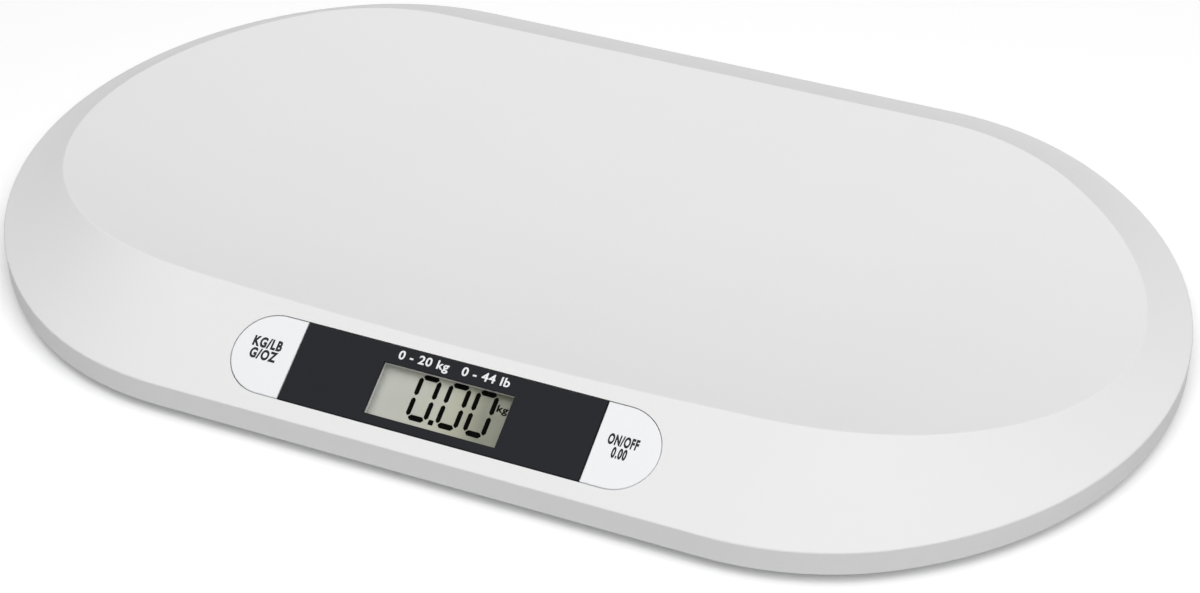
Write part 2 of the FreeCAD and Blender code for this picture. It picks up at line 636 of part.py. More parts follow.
def board_screws():
    one = screw(SMALL_HEAD_RADIUS, SMALL_HEAD, SMALL_SCREW_RADIUS, SMALL_SCREW_LENGTH)
    return Part.makeCompound([moved(one, x, y, BOARD_BOTTOM) for x, y in board_screw_places()])


# ================================================================== buttons and their switches
def button():
    """The right-hand button: a hollow cap with a retaining flange, and a stem held by two webs."""
    cap = button_outline(0.0, FLANGE_BOTTOM, 0.0)
    cap = cap.makeFillet(BUTTON_ROUND, [e for e in cap.Edges if e.BoundBox.ZMin > -0.001])
    flange = button_outline(BUTTON_FLANGE, FLANGE_BOTTOM, FLANGE_TOP)
    hollow = button_outline(-BUTTON_WALL, FLANGE_BOTTOM, -BUTTON_TOP)
    stem = post(BUTTON_STEM_X, 0.0, PLUNGER_TOP, -BUTTON_TOP, BUTTON_STEM_RADIUS)
    web = BUTTON_WEB / 2
    along = box((BEZEL_HALF, -web, -BUTTON_WEB_DEPTH), (PANEL_HALF, web, -BUTTON_TOP))
    across = box((-web, -PANEL_RADIUS, -BUTTON_WEB_DEPTH), (web, PANEL_RADIUS, -BUTTON_TOP))
    across = moved(across, x=BUTTON_STEM_X)
    inside = stem.multiFuse([along, across]).common(button_outline(-BUTTON_WALL / 2, FLANGE_BOTTOM, 0.0))
    return cap.fuse(flange).cut(hollow).fuse(inside).removeSplitter()


def switch_body():
    half = SWITCH_SIZE / 2
    body = box((-half, -half, -BOARD_DEPTH), (half, half, SWITCH_TOP))
    cavity = post(0.0, 0.0, SWITCH_TOP - SWITCH_CAVITY, SWITCH_TOP, PLUNGER_RADIUS + PLUNGER_GAP)
    return moved(body.cut(cavity), x=BUTTON_STEM_X)


def plunger():
    """The pin of a switch, which the button's stem pushes down."""
    low = SWITCH_TOP - SWITCH_CAVITY + BUTTON_TRAVEL + FIT
    return post(BUTTON_STEM_X, 0.0, low, PLUNGER_TOP, PLUNGER_RADIUS)


# ================================================================== battery box
def lane_y(lane):
    """Middle of one of the three battery lanes, counted from the front."""
    return BATTERY_CENTRE_Y + (lane - 1) * BATTERY_PITCH


def battery_block(grow, low, high):
    """The battery cavity's outline, grown evenly, between two heights."""
    half_x, half_y = BATTERY_HALF_X + grow, BATTERY_HALF_Y + grow
    return box((-half_x, BATTERY_CENTRE_Y - half_y, low), (half_x, BATTERY_CENTRE_Y + half_y, high))


def door_outline(grow, low, high):
    """The battery door's outline, grown evenly, between two heights."""
    half_x = (DOOR_LATCH_X - DOOR_HINGE_X) / 2 + grow
    half_y = BATTERY_HALF_Y + DOOR_OVERLAP + grow
    plate = rounded_plate(half_x, half_y, DOOR_CORNER + grow, low, high)
    return moved(plate, x=(DOOR_LATCH_X + DOOR_HINGE_X) / 2, y=BATTERY_CENTRE_Y)


def hook_box(low_x, high_x, side_gap, low, high):
    """A block at each of the two door hooks."""
    half = HOOK_WIDTH / 2 + side_gap
    middles = (BATTERY_CENTRE_Y - HOOK_Y, BATTERY_CENTRE_Y + HOOK_Y)
    return [box((low_x, y - half, low), (high_x, y + half, high)) for y in middles]


def latch_box(low_x, high_x, side_gap, low, high):
    """A block across the width of the latch."""
    half = LATCH_WIDTH / 2 + side_gap
    return box((low_x, BATTERY_CENTRE_Y - half, low), (high_x, BATTERY_CENTRE_Y + half, high))


def cross_walls(setback, low, high):
    """A wall across the cells on each side of the middle, between two heights."""
    half_x, half_y = CRADLE_THICKNESS / 2, BATTERY_HALF_Y - setback
    wall = box((-half_x, BATTERY_CENTRE_Y - half_y, low), (half_x, BATTERY_CENTRE_Y + half_y, high))
    return [moved(wall, x=-CRADLE_X), moved(wall, x=CRADLE_X)]


def battery_cradles():
    """Two walls under the roof of the box, scalloped over the cells."""
    length = 4 * CRADLE_X
    start = V(-length / 2, 0, BATTERY_Z)
    scallop = Part.makeCylinder(BATTERY_RADIUS + CRADLE_GAP, length, start, V(1, 0, 0))
    scallops = [moved(scallop, y=lane_y(lane)) for lane in range(len(BATTERY_LANES))]
    return [wall.cut(scallops) for wall in cross_walls(0.0, BATTERY_Z, ROOF_Z)]


def battery_cell(lane):
    """A cylindrical cell. Its positive end is to the right, or to the left in the middle lane."""
    body = Part.makeCylinder(BATTERY_RADIUS, BATTERY_BODY)
    body = body.makeFillet(CELL_EDGE, [e for e in body.Edges if e.BoundBox.ZLength < 0.001])
    cell = body.fuse(Part.makeCylinder(BATTERY_NUB_RADIUS, BATTERY_BODY + BATTERY_NUB))
    side = positive_side(lane)
    cell.rotate(ORIGIN, V(0, 1, 0), 90 * side)
    return moved(cell, -side * (PLATE_X - SPRING_LENGTH), lane_y(lane), BATTERY_Z)


def positive_side(lane):
    """1 where the positive end of a cell points to +X, -1 where it points to -X."""
    return -1 if lane == 1 else 1


def contact_plate(side, lanes, tagged):
    """A sprung sheet at one end of one or two lanes, with a bump for every positive end."""
    low_y = lane_y(lanes[0]) - PLATE_HALF
    high_y = lane_y(lanes[-1]) + PLATE_HALF
    faces = sorted((side * PLATE_X, side * BATTERY_HALF_X))
    sheet = box((faces[0], low_y, BATTERY_Z - PLATE_HALF), (faces[1], high_y, BATTERY_Z + PLATE_HALF))
    extras = []
    for lane in lanes:
        if positive_side(lane) == side:
            foot_of_bump = V(side * PLATE_X, lane_y(lane), BATTERY_Z)
            extras.append(Part.makeCone(BUMP_BASE, BUMP_TIP, CONTACT_BUMP, foot_of_bump, V(-side, 0, 0)))
    if tagged:
        ends = sorted((side * PLATE_X, side * (BATTERY_HALF_X + BOX_WALL + TAG_PROUD)))
        extras.append(tag_box(lanes[0], ends[0], ends[1], 0.0))
    return sheet.multiFuse(extras).removeSplitter()


def tag_box(lane, low_x, high_x, grow):
    """A solder tag in the middle of a lane, or the slot for it."""
    half_y, half_z = TAG_WIDTH / 2 + grow, TAG_THICKNESS / 2 + grow
    y = lane_y(lane)
    return box((low_x, y - half_y, BATTERY_Z - half_z), (high_x, y + half_y, BATTERY_Z + half_z))


def contact_plates():
    """A tagged plate for the first and the last lane, and two bridges that put the cells in series."""
    return Part.makeCompound(
        [
            contact_plate(1, (0,), True),
            contact_plate(1, (1, 2), False),
            contact_plate(-1, (0, 1), False),
            contact_plate(-1, (2,), True),
        ]
    )


def contact_springs():
    """A conical spring between each flat end of a cell and its plate."""
    rise = SPRING_LENGTH - 2 * SPRING_WIRE
    taper = math.degrees(math.atan((SPRING_WIDE - SPRING_NARROW) / rise))
    helix = Part.makeHelix(rise / SPRING_TURNS, rise, SPRING_WIDE, -taper)
    ring = Part.Wire([Part.makeCircle(SPRING_WIRE, V(SPRING_WIDE, 0, 0), V(0, 1, 0))])
    coil = moved(Part.Wire(helix).makePipeShell([ring], True, True), z=SPRING_WIRE)
    springs = []
    for lane in range(len(BATTERY_LANES)):
        side = -positive_side(lane)
        spring = coil.copy()
        spring.rotate(ORIGIN, V(0, 1, 0), -90 * side)
        springs.append(moved(spring, side * PLATE_X, lane_y(lane), BATTERY_Z))
    return Part.makeCompound(springs)


def battery_door():
    """A lid with two hooks at the hinge side and a bent latch finger at the other."""
    solids = [door_outline(0.0, BASE_Z, DOOR_TOP)]
    neck_x = DOOR_HINGE_X + HOOK_THICKNESS - FIT
    hook_low = DOOR_TOP + FIT
    hook_high = hook_low + HOOK_THICKNESS
    solids += hook_box(DOOR_HINGE_X - HOOK_REACH, neck_x + HOOK_NECK, 0.0, hook_low, hook_high)
    solids += hook_box(neck_x, neck_x + HOOK_NECK, 0.0, DOOR_TOP, hook_high)
    solids += cross_walls(PRESS_SETBACK, DOOR_TOP, DOOR_TOP + BATTERY_BED - PRESS_PLAY)
    lid = fuse_all(solids)
    outer, inner = LATCH_OUTER, LATCH_OUTER - LATCH_THICKNESS
    slot = latch_box(inner - LATCH_SLOT, outer + LATCH_SLOT, LATCH_SLOT, BASE_Z, DOOR_TOP)
    top = DOOR_TOP + LATCH_HEIGHT
    root = inner - 2 * LATCH_THICKNESS
    finger = [
        latch_box(inner, outer, 0.0, BASE_Z, top),
        latch_box(root, outer, 0.0, top - LATCH_THICKNESS, top),
        latch_box(root, root + LATCH_THICKNESS, 0.0, DOOR_TOP, top),
        latch_box(outer, outer + LATCH_NIB, 0.0, NIB_LOW, NIB_LOW + LATCH_NIB_HEIGHT),
    ]
    return lid.cut(slot).multiFuse(finger).removeSplitter()


# ================================================================== leads
def route_wire(points, bend):
    """Straight runs along the axes, joined by round bends."""
    edges = []
    start = points[0]
    for before, corner, after in zip(points, points[1:], points[2:]):
        into, out = V(corner - before), V(after - corner)
        into.normalize()
        out.normalize()
        first, last = corner - into * bend, corner + out * bend
        middle = corner + (out - into) * (bend * (1 - math.sqrt(0.5)))
        edges.append(Part.makeLine(start, first))
        edges.append(Part.Arc(first, middle, last).toShape())
        start = last
    edges.append(Part.makeLine(start, points[-1]))
    return Part.Wire(edges)


def lead(points, bend, radius):
    """A round lead along a route, ending at the back of the board."""
    ring = Part.Wire([Part.makeCircle(radius, points[0], points[1] - points[0])])
    tube = route_wire(points, bend).makePipeShell([ring], True, False)
    reach = 2 * BOARD_HALF_X
    beyond = on_panel(box((-reach, -reach, BOARD_BOTTOM), (reach, reach, BOARD_BOTTOM + reach)))
    return tube.cut(beyond)


def cell_lead_points(x, y):
    """From a gauge over its bracket to the floor, along a lane, and up to the board."""
    side = math.copysign(1.0, x)
    lane = side * (LEAD_LANE_FRONT if y < 0 else LEAD_LANE_BACK)
    drop_x = x - side * LEAD_DROP
    high, low = CELL_TOP + LEAD_RADIUS, FLOOR_Z + LEAD_RADIUS
    return [
        V(x - side * GAUGE_HALF_X, y + GAUGE_Y, high),
        V(drop_x, y + GAUGE_Y, high),
        V(drop_x, y + GAUGE_Y, low),
        V(lane, y + GAUGE_Y, low),
        V(lane, LEAD_RISE_Y, low),
        V(lane, LEAD_RISE_Y, LEAD_TOP),
    ]


def power_lead_points(side, lane):
    """From a battery tag to the floor, along its own lane, and up to the board."""
    x, y = side * POWER_LANE, lane_y(lane)
    low = FLOOR_Z + POWER_LEAD_RADIUS
    return [
        V(side * (BATTERY_HALF_X + BOX_WALL + TAG_PROUD), y, BATTERY_Z),
        V(x, y, BATTERY_Z),
        V(x, y, low),
        V(x, POWER_RISE_Y, low),
        V(x, POWER_RISE_Y, LEAD_TOP),
    ]


def power_routes():
    """From the front lane's tag on the right, and from the back lane's tag on the left."""
    return [power_lead_points(1, 0), power_lead_points(-1, len(BATTERY_LANES) - 1)]


def lead_notches():
    """Space for the leads through the ribs of the lower housing."""
    notches = []
    for points in [cell_lead_points(x, y) for _, x, y in cell_places()] + power_routes():
        for start, end in zip(points[2:-1], points[3:-1]):
            low_x, high_x = sorted((start.x, end.x))
            low_y, high_y = sorted((start.y, end.y))
            low = (low_x - LEAD_NOTCH, low_y - LEAD_NOTCH, FLOOR_Z)
            notches.append(box(low, (high_x + LEAD_NOTCH, high_y + LEAD_NOTCH, CASE_JOINT_Z)))
    return notches


def battery_leads():
    return Part.makeCompound([lead(points, POWER_LEAD_BEND, POWER_LEAD_RADIUS) for points in power_routes()])


# ================================================================== load cells, brackets and feet
def bracket_screw_places():
    """Two screws beside every load cell."""
    return [(x + sign * BRACKET_SCREW_X, y) for _, x, y in cell_places() for sign in (-1, 1)]


def load_cell():
    """A steel plate with a U-shaped slot round a tongue, which the foot's pin pushes on."""
    half, tongue = CELL_SIZE / 2, TONGUE_WIDTH / 2
    plate = rounded_plate(half, half, CELL_CORNER, CELL_Z, CELL_TOP)
    outer = tongue + CELL_SLOT
    slot = box((-outer, -TONGUE_REACH - CELL_SLOT, CELL_Z), (outer, TONGUE_REACH, CELL_TOP))
    slot = slot.cut(box((-tongue, -TONGUE_REACH, CELL_Z), (tongue, TONGUE_REACH, CELL_TOP)))
    return plate.cut([slot, post(0.0, 0.0, CELL_Z, CELL_TOP, FOOT_PIN_RADIUS + PIN_GAP)])


def gauge_cover():
    """A bead of silicone over the strain gauges at the tongue's root."""
    low = (-GAUGE_HALF_X, GAUGE_Y - GAUGE_HALF_Y, CELL_TOP)
    return box(low, (GAUGE_HALF_X, GAUGE_Y + GAUGE_HALF_Y, CELL_TOP + GAUGE_HEIGHT))


def cell_bracket(side):
    """A cap over the load cell, open over the tongue, with ears for two screws and a notch for the lead."""
    inner = CELL_SIZE / 2 + FIT
    outer = inner + BRACKET_WALL
    top = CELL_TOP + BRACKET_TOP
    bottom = CELL_Z - BRACKET_GRIP
    cap = rounded_plate(outer, outer, CELL_CORNER + BRACKET_WALL, bottom, top)
    hollow = rounded_plate(inner, inner, CELL_CORNER, bottom, CELL_TOP)
    window_end = GAUGE_Y + GAUGE_HALF_Y + FIT
    window = box((-BRACKET_WINDOW, -BRACKET_WINDOW, bottom), (BRACKET_WINDOW, window_end, top))
    solids = [cap.cut(hollow)]
    half = BRACKET_EAR / 2
    ear = box((inner, -half, CASE_JOINT_Z), (BRACKET_SCREW_X, half, CASE_JOINT_Z + BRACKET_TOP))
    ear = ear.fuse(post(BRACKET_SCREW_X, 0.0, CASE_JOINT_Z, CASE_JOINT_Z + BRACKET_TOP, half))
    solids += left_and_right(ear)
    nib = box((-half, inner - BRACKET_NIB, bottom), (half, inner, CELL_Z - NIB_PLAY))
    solids += [nib, nib.mirror(ORIGIN, V(0, 1, 0))]
    holes = [post(sign * BRACKET_SCREW_X, 0.0, bottom, top, SMALL_HOLE) for sign in (-1, 1)]
    bracket = fuse_all(solids).cut([window] + holes)
    notch_half = LEAD_RADIUS + FIT
    low_x, high_x = sorted((-side * GAUGE_HALF_X, -side * (outer + CUT_PAST)))
    notch = box((low_x, GAUGE_Y - notch_half, CELL_TOP), (high_x, GAUGE_Y + notch_half, top))
    return bracket.cut(notch).removeSplitter()


def foot():
    """A disc with a stub under the tongue, a pin through it, and a recess for the pad."""
    low = PAD_PROUD
    disc = post(0.0, 0.0, low, low + FOOT_BODY, FOOT_RADIUS)
    disc = disc.makeFillet(FOOT_ROUND, [e for e in disc.Edges if e.BoundBox.ZLength < 0.001])
    stub = post(0.0, 0.0, low + PAD_SEAT, CELL_Z, FOOT_STUB_RADIUS)
    pin = post(0.0, 0.0, low + PAD_SEAT, CELL_TOP, FOOT_PIN_RADIUS)
    recess = post(0.0, 0.0, low, low + PAD_SEAT, PAD_RADIUS + PIN_GAP)
    return disc.multiFuse([stub, pin]).cut(recess)


def foot_pad():
    pad = post(0.0, 0.0, 0.0, PAD_PROUD + PAD_SEAT, PAD_RADIUS)
    pad = pad.makeFillet(PAD_ROUND, [e for e in pad.Edges if e.BoundBox.ZMax < 0.001])
    return pad.cut(Part.makeTorus(PAD_RADIUS - PAD_GROOVE_INSET, PAD_GROOVE, ORIGIN))


def bracket_screws():
    one = screw(SMALL_HEAD_RADIUS, SMALL_HEAD, SMALL_SCREW_RADIUS, SMALL_SCREW_LENGTH)
    one.rotate(ORIGIN, V(1, 0, 0), 180)
    seat = CASE_JOINT_Z + BRACKET_TOP
    return Part.makeCompound([moved(one, x, y, seat) for x, y in bracket_screw_places()])


def case_screws():
    one = screw(SCREW_HEAD_RADIUS, SCREW_HEAD, SCREW_RADIUS, SCREW_LENGTH)
    return Part.makeCompound([moved(one, x, y, CASE_JOINT_Z - SCREW_SEAT) for x, y in case_screw_places()])


# ================================================================== lower housing
def cover_ribs():
    """Crossed ribs on the floor, clear of the load cells, the battery box and the leads."""
    ribs = rib_grid(COVER_RIB_PITCH, COVER_RIB_PITCH, COVER_RIB_INSET, 0.0, COVER_RIB_THICKNESS)
    ribs = ribs.common(slab(BASE_INSET, FLOOR_Z, CASE_JOINT_Z))
    half = CELL_SIZE / 2 + FIT + BRACKET_WALL + FOOT_GAP
    cell_room = box((-half, -half, FLOOR_Z), (half, half, CASE_JOINT_Z))
    clear = [moved(cell_room, x, y) for _, x, y in cell_places()]
    clear.append(door_outline(BOX_WALL, FLOOR_Z, CASE_JOINT_Z))
    return ribs.cut(clear + lead_notches())


def battery_housing():
    """The walls and roof over the cells, the collar that the door closes into, and the latch's catch."""
    walls = battery_block(BOX_WALL, BASE_Z, BOX_TOP)
    collar = door_outline(DOOR_GAP + BOX_WALL, BASE_Z, DOOR_TOP + DOOR_GAP + BOX_WALL)
    catch_top = NIB_LOW + LATCH_NIB_HEIGHT + BOX_WALL / 2
    catch = latch_box(DOOR_FACE, DOOR_FACE + BOX_WALL, BOX_WALL, FLOOR_Z, catch_top)
    return [walls, collar, catch]


def battery_hollows():
    """What is cut from the battery housing: its cavity, the door's seat, and room for the hooks and latch."""
    cavity = battery_block(0.0, BASE_Z - CUT_PAST, ROOF_Z).cut(battery_cradles())
    seat = door_outline(DOOR_GAP, BASE_Z - CUT_PAST, DOOR_TOP + DOOR_GAP)
    hook_end = DOOR_HINGE_X - HOOK_REACH - HOOK_SWING
    hook_room = hook_box(hook_end, CUT_PAST - BATTERY_HALF_X, HOOK_SIDE, DOOR_TOP, DOOR_TOP + HOOK_ROOM)
    latch_low = LATCH_OUTER - 4 * LATCH_THICKNESS
    latch_room = latch_box(latch_low, DOOR_FACE, LATCH_SLOT, DOOR_TOP, DOOR_TOP + LATCH_HEIGHT)
    pocket_high = NIB_LOW + LATCH_NIB_HEIGHT + LATCH_NIB
    pocket_end = DOOR_FACE + BOX_WALL / 2
    pocket = latch_box(DOOR_FACE - CUT_PAST, pocket_end, LATCH_NIB, NIB_LOW - LATCH_NIB, pocket_high)
    inside, outside = BATTERY_HALF_X - CUT_PAST, BATTERY_HALF_X + BOX_WALL + CUT_PAST
    last_lane = len(BATTERY_LANES) - 1
    slots = [tag_box(0, inside, outside, PIN_GAP), tag_box(last_lane, -outside, -inside, PIN_GAP)]
    return [cavity, seat, latch_room, pocket] + hook_room + slots


def bottom_cover():
    outlines = [inset_oval(BASE_INSET, BASE_Z), inset_oval(BASE_INSET - BASE_DRAFT, FLOOR_Z)]
    base = Part.makeLoft(outlines, True, True)
    flange = slab(WALL + FIT, SKIRT_BOTTOM, SKIRT_BOTTOM + COVER_WALL)
    lip = slab(WALL + FIT, SKIRT_BOTTOM, SKIRT_BOTTOM + COVER_WALL + LIP_HEIGHT)
    lip = lip.cut(slab(WALL + FIT + LIP_THICKNESS, SKIRT_BOTTOM, EDGE_Z))
    hollow = slab(BASE_INSET - BASE_DRAFT + COVER_WALL, FLOOR_Z, EDGE_Z)
    tray = base.multiFuse([flange, lip]).cut(hollow)

    raised = [post(x, y, BASE_Z, CASE_JOINT_Z, CASE_POST_RADIUS) for x, y in case_screw_places()]
    raised += [post(x, y, BASE_Z, CASE_JOINT_Z, BRACKET_POST_RADIUS) for x, y in bracket_screw_places()]
    hole = FOOT_RADIUS + FOOT_GAP
    raised += [post(x, y, BASE_Z, FLOOR_Z + SOCKET_HEIGHT, hole + SOCKET_WALL) for _, x, y in cell_places()]
    tray = tray.multiFuse(raised + [cover_ribs()] + battery_housing())

    cuts = battery_hollows()
    cuts += [post(x, y, BASE_Z - CUT_PAST, CASE_JOINT_Z, hole) for _, x, y in cell_places()]
    for x, y in case_screw_places():
        cuts.append(post(x, y, BASE_Z - CUT_PAST, CASE_JOINT_Z - SCREW_SEAT, SCREW_HEAD_RADIUS + SCREW_ROOM))
        cuts.append(post(x, y, BASE_Z, CASE_JOINT_Z, SCREW_HOLE))
    pilot_low = CASE_JOINT_Z + BRACKET_TOP - SMALL_SCREW_LENGTH - PILOT_SPARE
    for x, y in bracket_screw_places():
        cuts.append(post(x, y, pilot_low, CASE_JOINT_Z, SMALL_SCREW_RADIUS))
    return tray.cut(cuts).removeSplitter()


# ================================================================== the object
nodes["top_shell"] = top_shell()
nodes["bottom_cover"] = bottom_cover()

for name, shape in (
    ("display_bezel", display_bezel()),
    ("display_window", display_window()),
    ("bezel_tape", bezel_tape()),
    ("lcd_glass", lcd_glass()),
    ("lcd_backing", lcd_backing()),
    ("lcd_contact_strips", lcd_contact_strips()),
    ("lcd_frame", lcd_frame()),
    ("main_board", main_board()),
    ("controller_chip", controller_chip()),
    ("board_components", board_components()),
    ("board_screws", board_screws()),
):
    nodes[name] = on_panel(shape)

for kind, shape in (("button", button()), ("plunger", plunger()), ("switch", switch_body())):
    for name, half in zip(("unit_", "power_"), left_and_right(shape)):
        nodes[name + kind] = on_panel(half)

for name, x, y in cell_places():
    nodes["load_cell_" + name] = moved(load_cell(), x, y)
    nodes["gauge_cover_" + name] = moved(gauge_cover(), x, y)
    nodes["cell_bracket_" + name] = moved(cell_bracket(math.copysign(1.0, x)), x, y)
    nodes["foot_" + name] = moved(foot(), x, y)
    nodes["foot_pad_" + name] = moved(foot_pad(), x, y)
    nodes["cell_lead_" + name] = lead(cell_lead_points(x, y), LEAD_BEND, LEAD_RADIUS)

nodes["bracket_screws"] = bracket_screws()
nodes["case_screws"] = case_screws()
for lane, name in enumerate(BATTERY_LANES):
    nodes["battery_cell_" + name] = battery_cell(lane)
nodes["contact_plates"] = contact_plates()
nodes["contact_springs"] = contact_springs()
nodes["battery_leads"] = battery_leads()
nodes["battery_door"] = battery_door()

os.makedirs("parts", exist_ok=True)
for name, shape in nodes.items():
    print(name, shape.ShapeType, len(shape.Solids), shape.isValid(), round(shape.Volume / 1000.0, 2), "cm3")
    shape.exportStep("parts/" + name + ".step")
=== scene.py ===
# %% [markdown]
# # A digital baby weighing scale
# A low oval shell with a dished pan, a display on its front slope between two push buttons, and a flat
# lower housing on four load-cell feet. The solids come from the CAD model, which this scene only dresses.
# What a paint shop, a printer and a display add is made here: surface grain, printed marks and digits.

# %% Start
import json
import math

import bmesh
import bpy
from mathutils import Matrix, Vector


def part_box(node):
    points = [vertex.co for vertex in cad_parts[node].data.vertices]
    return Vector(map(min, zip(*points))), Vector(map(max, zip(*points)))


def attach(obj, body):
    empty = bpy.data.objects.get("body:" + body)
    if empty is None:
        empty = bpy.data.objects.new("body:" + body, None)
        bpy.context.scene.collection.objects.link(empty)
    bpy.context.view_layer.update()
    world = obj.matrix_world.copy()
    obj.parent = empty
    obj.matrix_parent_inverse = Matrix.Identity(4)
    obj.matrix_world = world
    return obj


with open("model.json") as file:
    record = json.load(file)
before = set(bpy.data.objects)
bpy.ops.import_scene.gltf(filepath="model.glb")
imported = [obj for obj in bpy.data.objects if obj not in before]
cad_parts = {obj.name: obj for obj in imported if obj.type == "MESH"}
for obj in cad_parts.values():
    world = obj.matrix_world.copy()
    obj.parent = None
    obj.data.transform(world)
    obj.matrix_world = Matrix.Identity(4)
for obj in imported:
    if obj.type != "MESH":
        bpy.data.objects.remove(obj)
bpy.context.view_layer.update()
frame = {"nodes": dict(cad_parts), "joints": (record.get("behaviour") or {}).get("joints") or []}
nodes = frame["nodes"]
MM = 0.001

# %% [markdown]
# ## The panel's own frame
# The display and its buttons lie on a slope. Marks could be turned and moved there one by one, but then
# each would need its own angles. Here everything printed is drawn flat, with x to the right and y up the
# slope, and one matrix then carries it onto the object. The slope's tilt is read from the direction in
# which a button travels, so the prints follow the CAD model if it changes.

# %% Panel frame
press = Vector(next(j for j in frame["joints"] if j["name"] == "unit_button_press")["axis"])
panel_out = -press.normalized()
panel_up = panel_out.cross(Vector((1, 0, 0))).normalized()
panel_tilt = math.acos(panel_out.z)


def reach(node, direction):
    """How far a node lies along a direction: its nearest and its farthest point."""
    along = [vertex.co.dot(direction) for vertex in nodes[node].data.vertices]
    return min(along), max(along)


face_height = reach("display_bezel", panel_out)[1]
glass_depth = face_height - reach("lcd_glass", panel_out)[1]
panel_middle = panel_out * face_height + panel_up * (sum(reach("display_bezel", panel_up)) / 2)
PANEL = Matrix(
    (
        (1.0, 0.0, 0.0, panel_middle.x),
        (0.0, panel_up.y, panel_out.y, panel_middle.y),
        (0.0, panel_up.z, panel_out.z, panel_middle.z),
        (0.0, 0.0, 0.0, 1.0),
    )
)
print("panel middle:", [round(x, 4) for x in panel_middle], "tilt:", round(math.degrees(panel_tilt), 2))

# %% [markdown]
# ## Writing materials as arithmetic
# A procedural material is a small graph of nodes. Adding each node and link by hand is long and hard to
# read. The class below wraps a socket instead, so that a line such as `0.3 + 0.1 * grain` adds the Math
# nodes by itself and reads like the formula that it is.

# %% Values
class Value:
    """A socket that can be added, subtracted, multiplied and divided."""

    def __init__(self, finish, socket):
        self.finish = finish
        self.socket = socket

    def join(self, operation, first, second, clamp=False):
        """Adds a Math node that works on two values or numbers."""
        settings = {"operation": operation, "use_clamp": clamp}
        node = self.finish.node("ShaderNodeMath", settings, [first, second])
        return Value(self.finish, node.outputs[0])

    def __add__(self, other):
        return self.join("ADD", self, other)

    def __radd__(self, other):
        return self.join("ADD", other, self)

    def __sub__(self, other):
        return self.join("SUBTRACT", self, other)

    def __rsub__(self, other):
        return self.join("SUBTRACT", other, self)

    def __mul__(self, other):
        return self.join("MULTIPLY", self, other)

    def __rmul__(self, other):
        return self.join("MULTIPLY", other, self)

    def __truediv__(self, other):
        return self.join("DIVIDE", self, other)

    def over(self, level):
        """1 where the value is above a level, and 0 elsewhere."""
        return self.join("GREATER_THAN", self, level)

    def under(self, level):
        """1 where the value is below a level, and 0 elsewhere."""
        return self.join("LESS_THAN", self, level)

    def held(self):
        """The value, held between 0 and 1."""
        return self.join("ADD", self, 0.0, clamp=True)


print(Value.__doc__)

# %% [markdown]
# ## Colours
# A colour is easiest to write as a screen shows it, in six letters and digits. Blender reckons with
# amounts of light, which don't grow evenly with a screen's numbers, so each colour is turned into light
# first.

# %% Colours
def grey(level):
    """An even grey, given as light from 0 to 1, as red, green, blue and alpha."""
    return (level, level, level, 1.0)


def linear(hex_colour):
    """A screen colour such as "E4E6E6" as linear red, green, blue and alpha, by the usual screen curve."""
    channels = [int(hex_colour[i : i + 2], 16) / 255 for i in (0, 2, 4)]
    return [c / 12.92 if c <= 0.04045 else ((c + 0.055) / 1.055) ** 2.4 for c in channels] + [1.0]


print("a screen's middle grey, as light:", round(linear("808080")[0], 3))

# %% [markdown]
# ## One material
# Every finish on this object is a Principled shader with a few nodes before it. Adding a node takes the
# same steps each time, so one method does them, and the patterns that come back often have methods of
# their own. Patterns read Object coordinates, which need no unwrapping and stay with a piece when it
# moves.

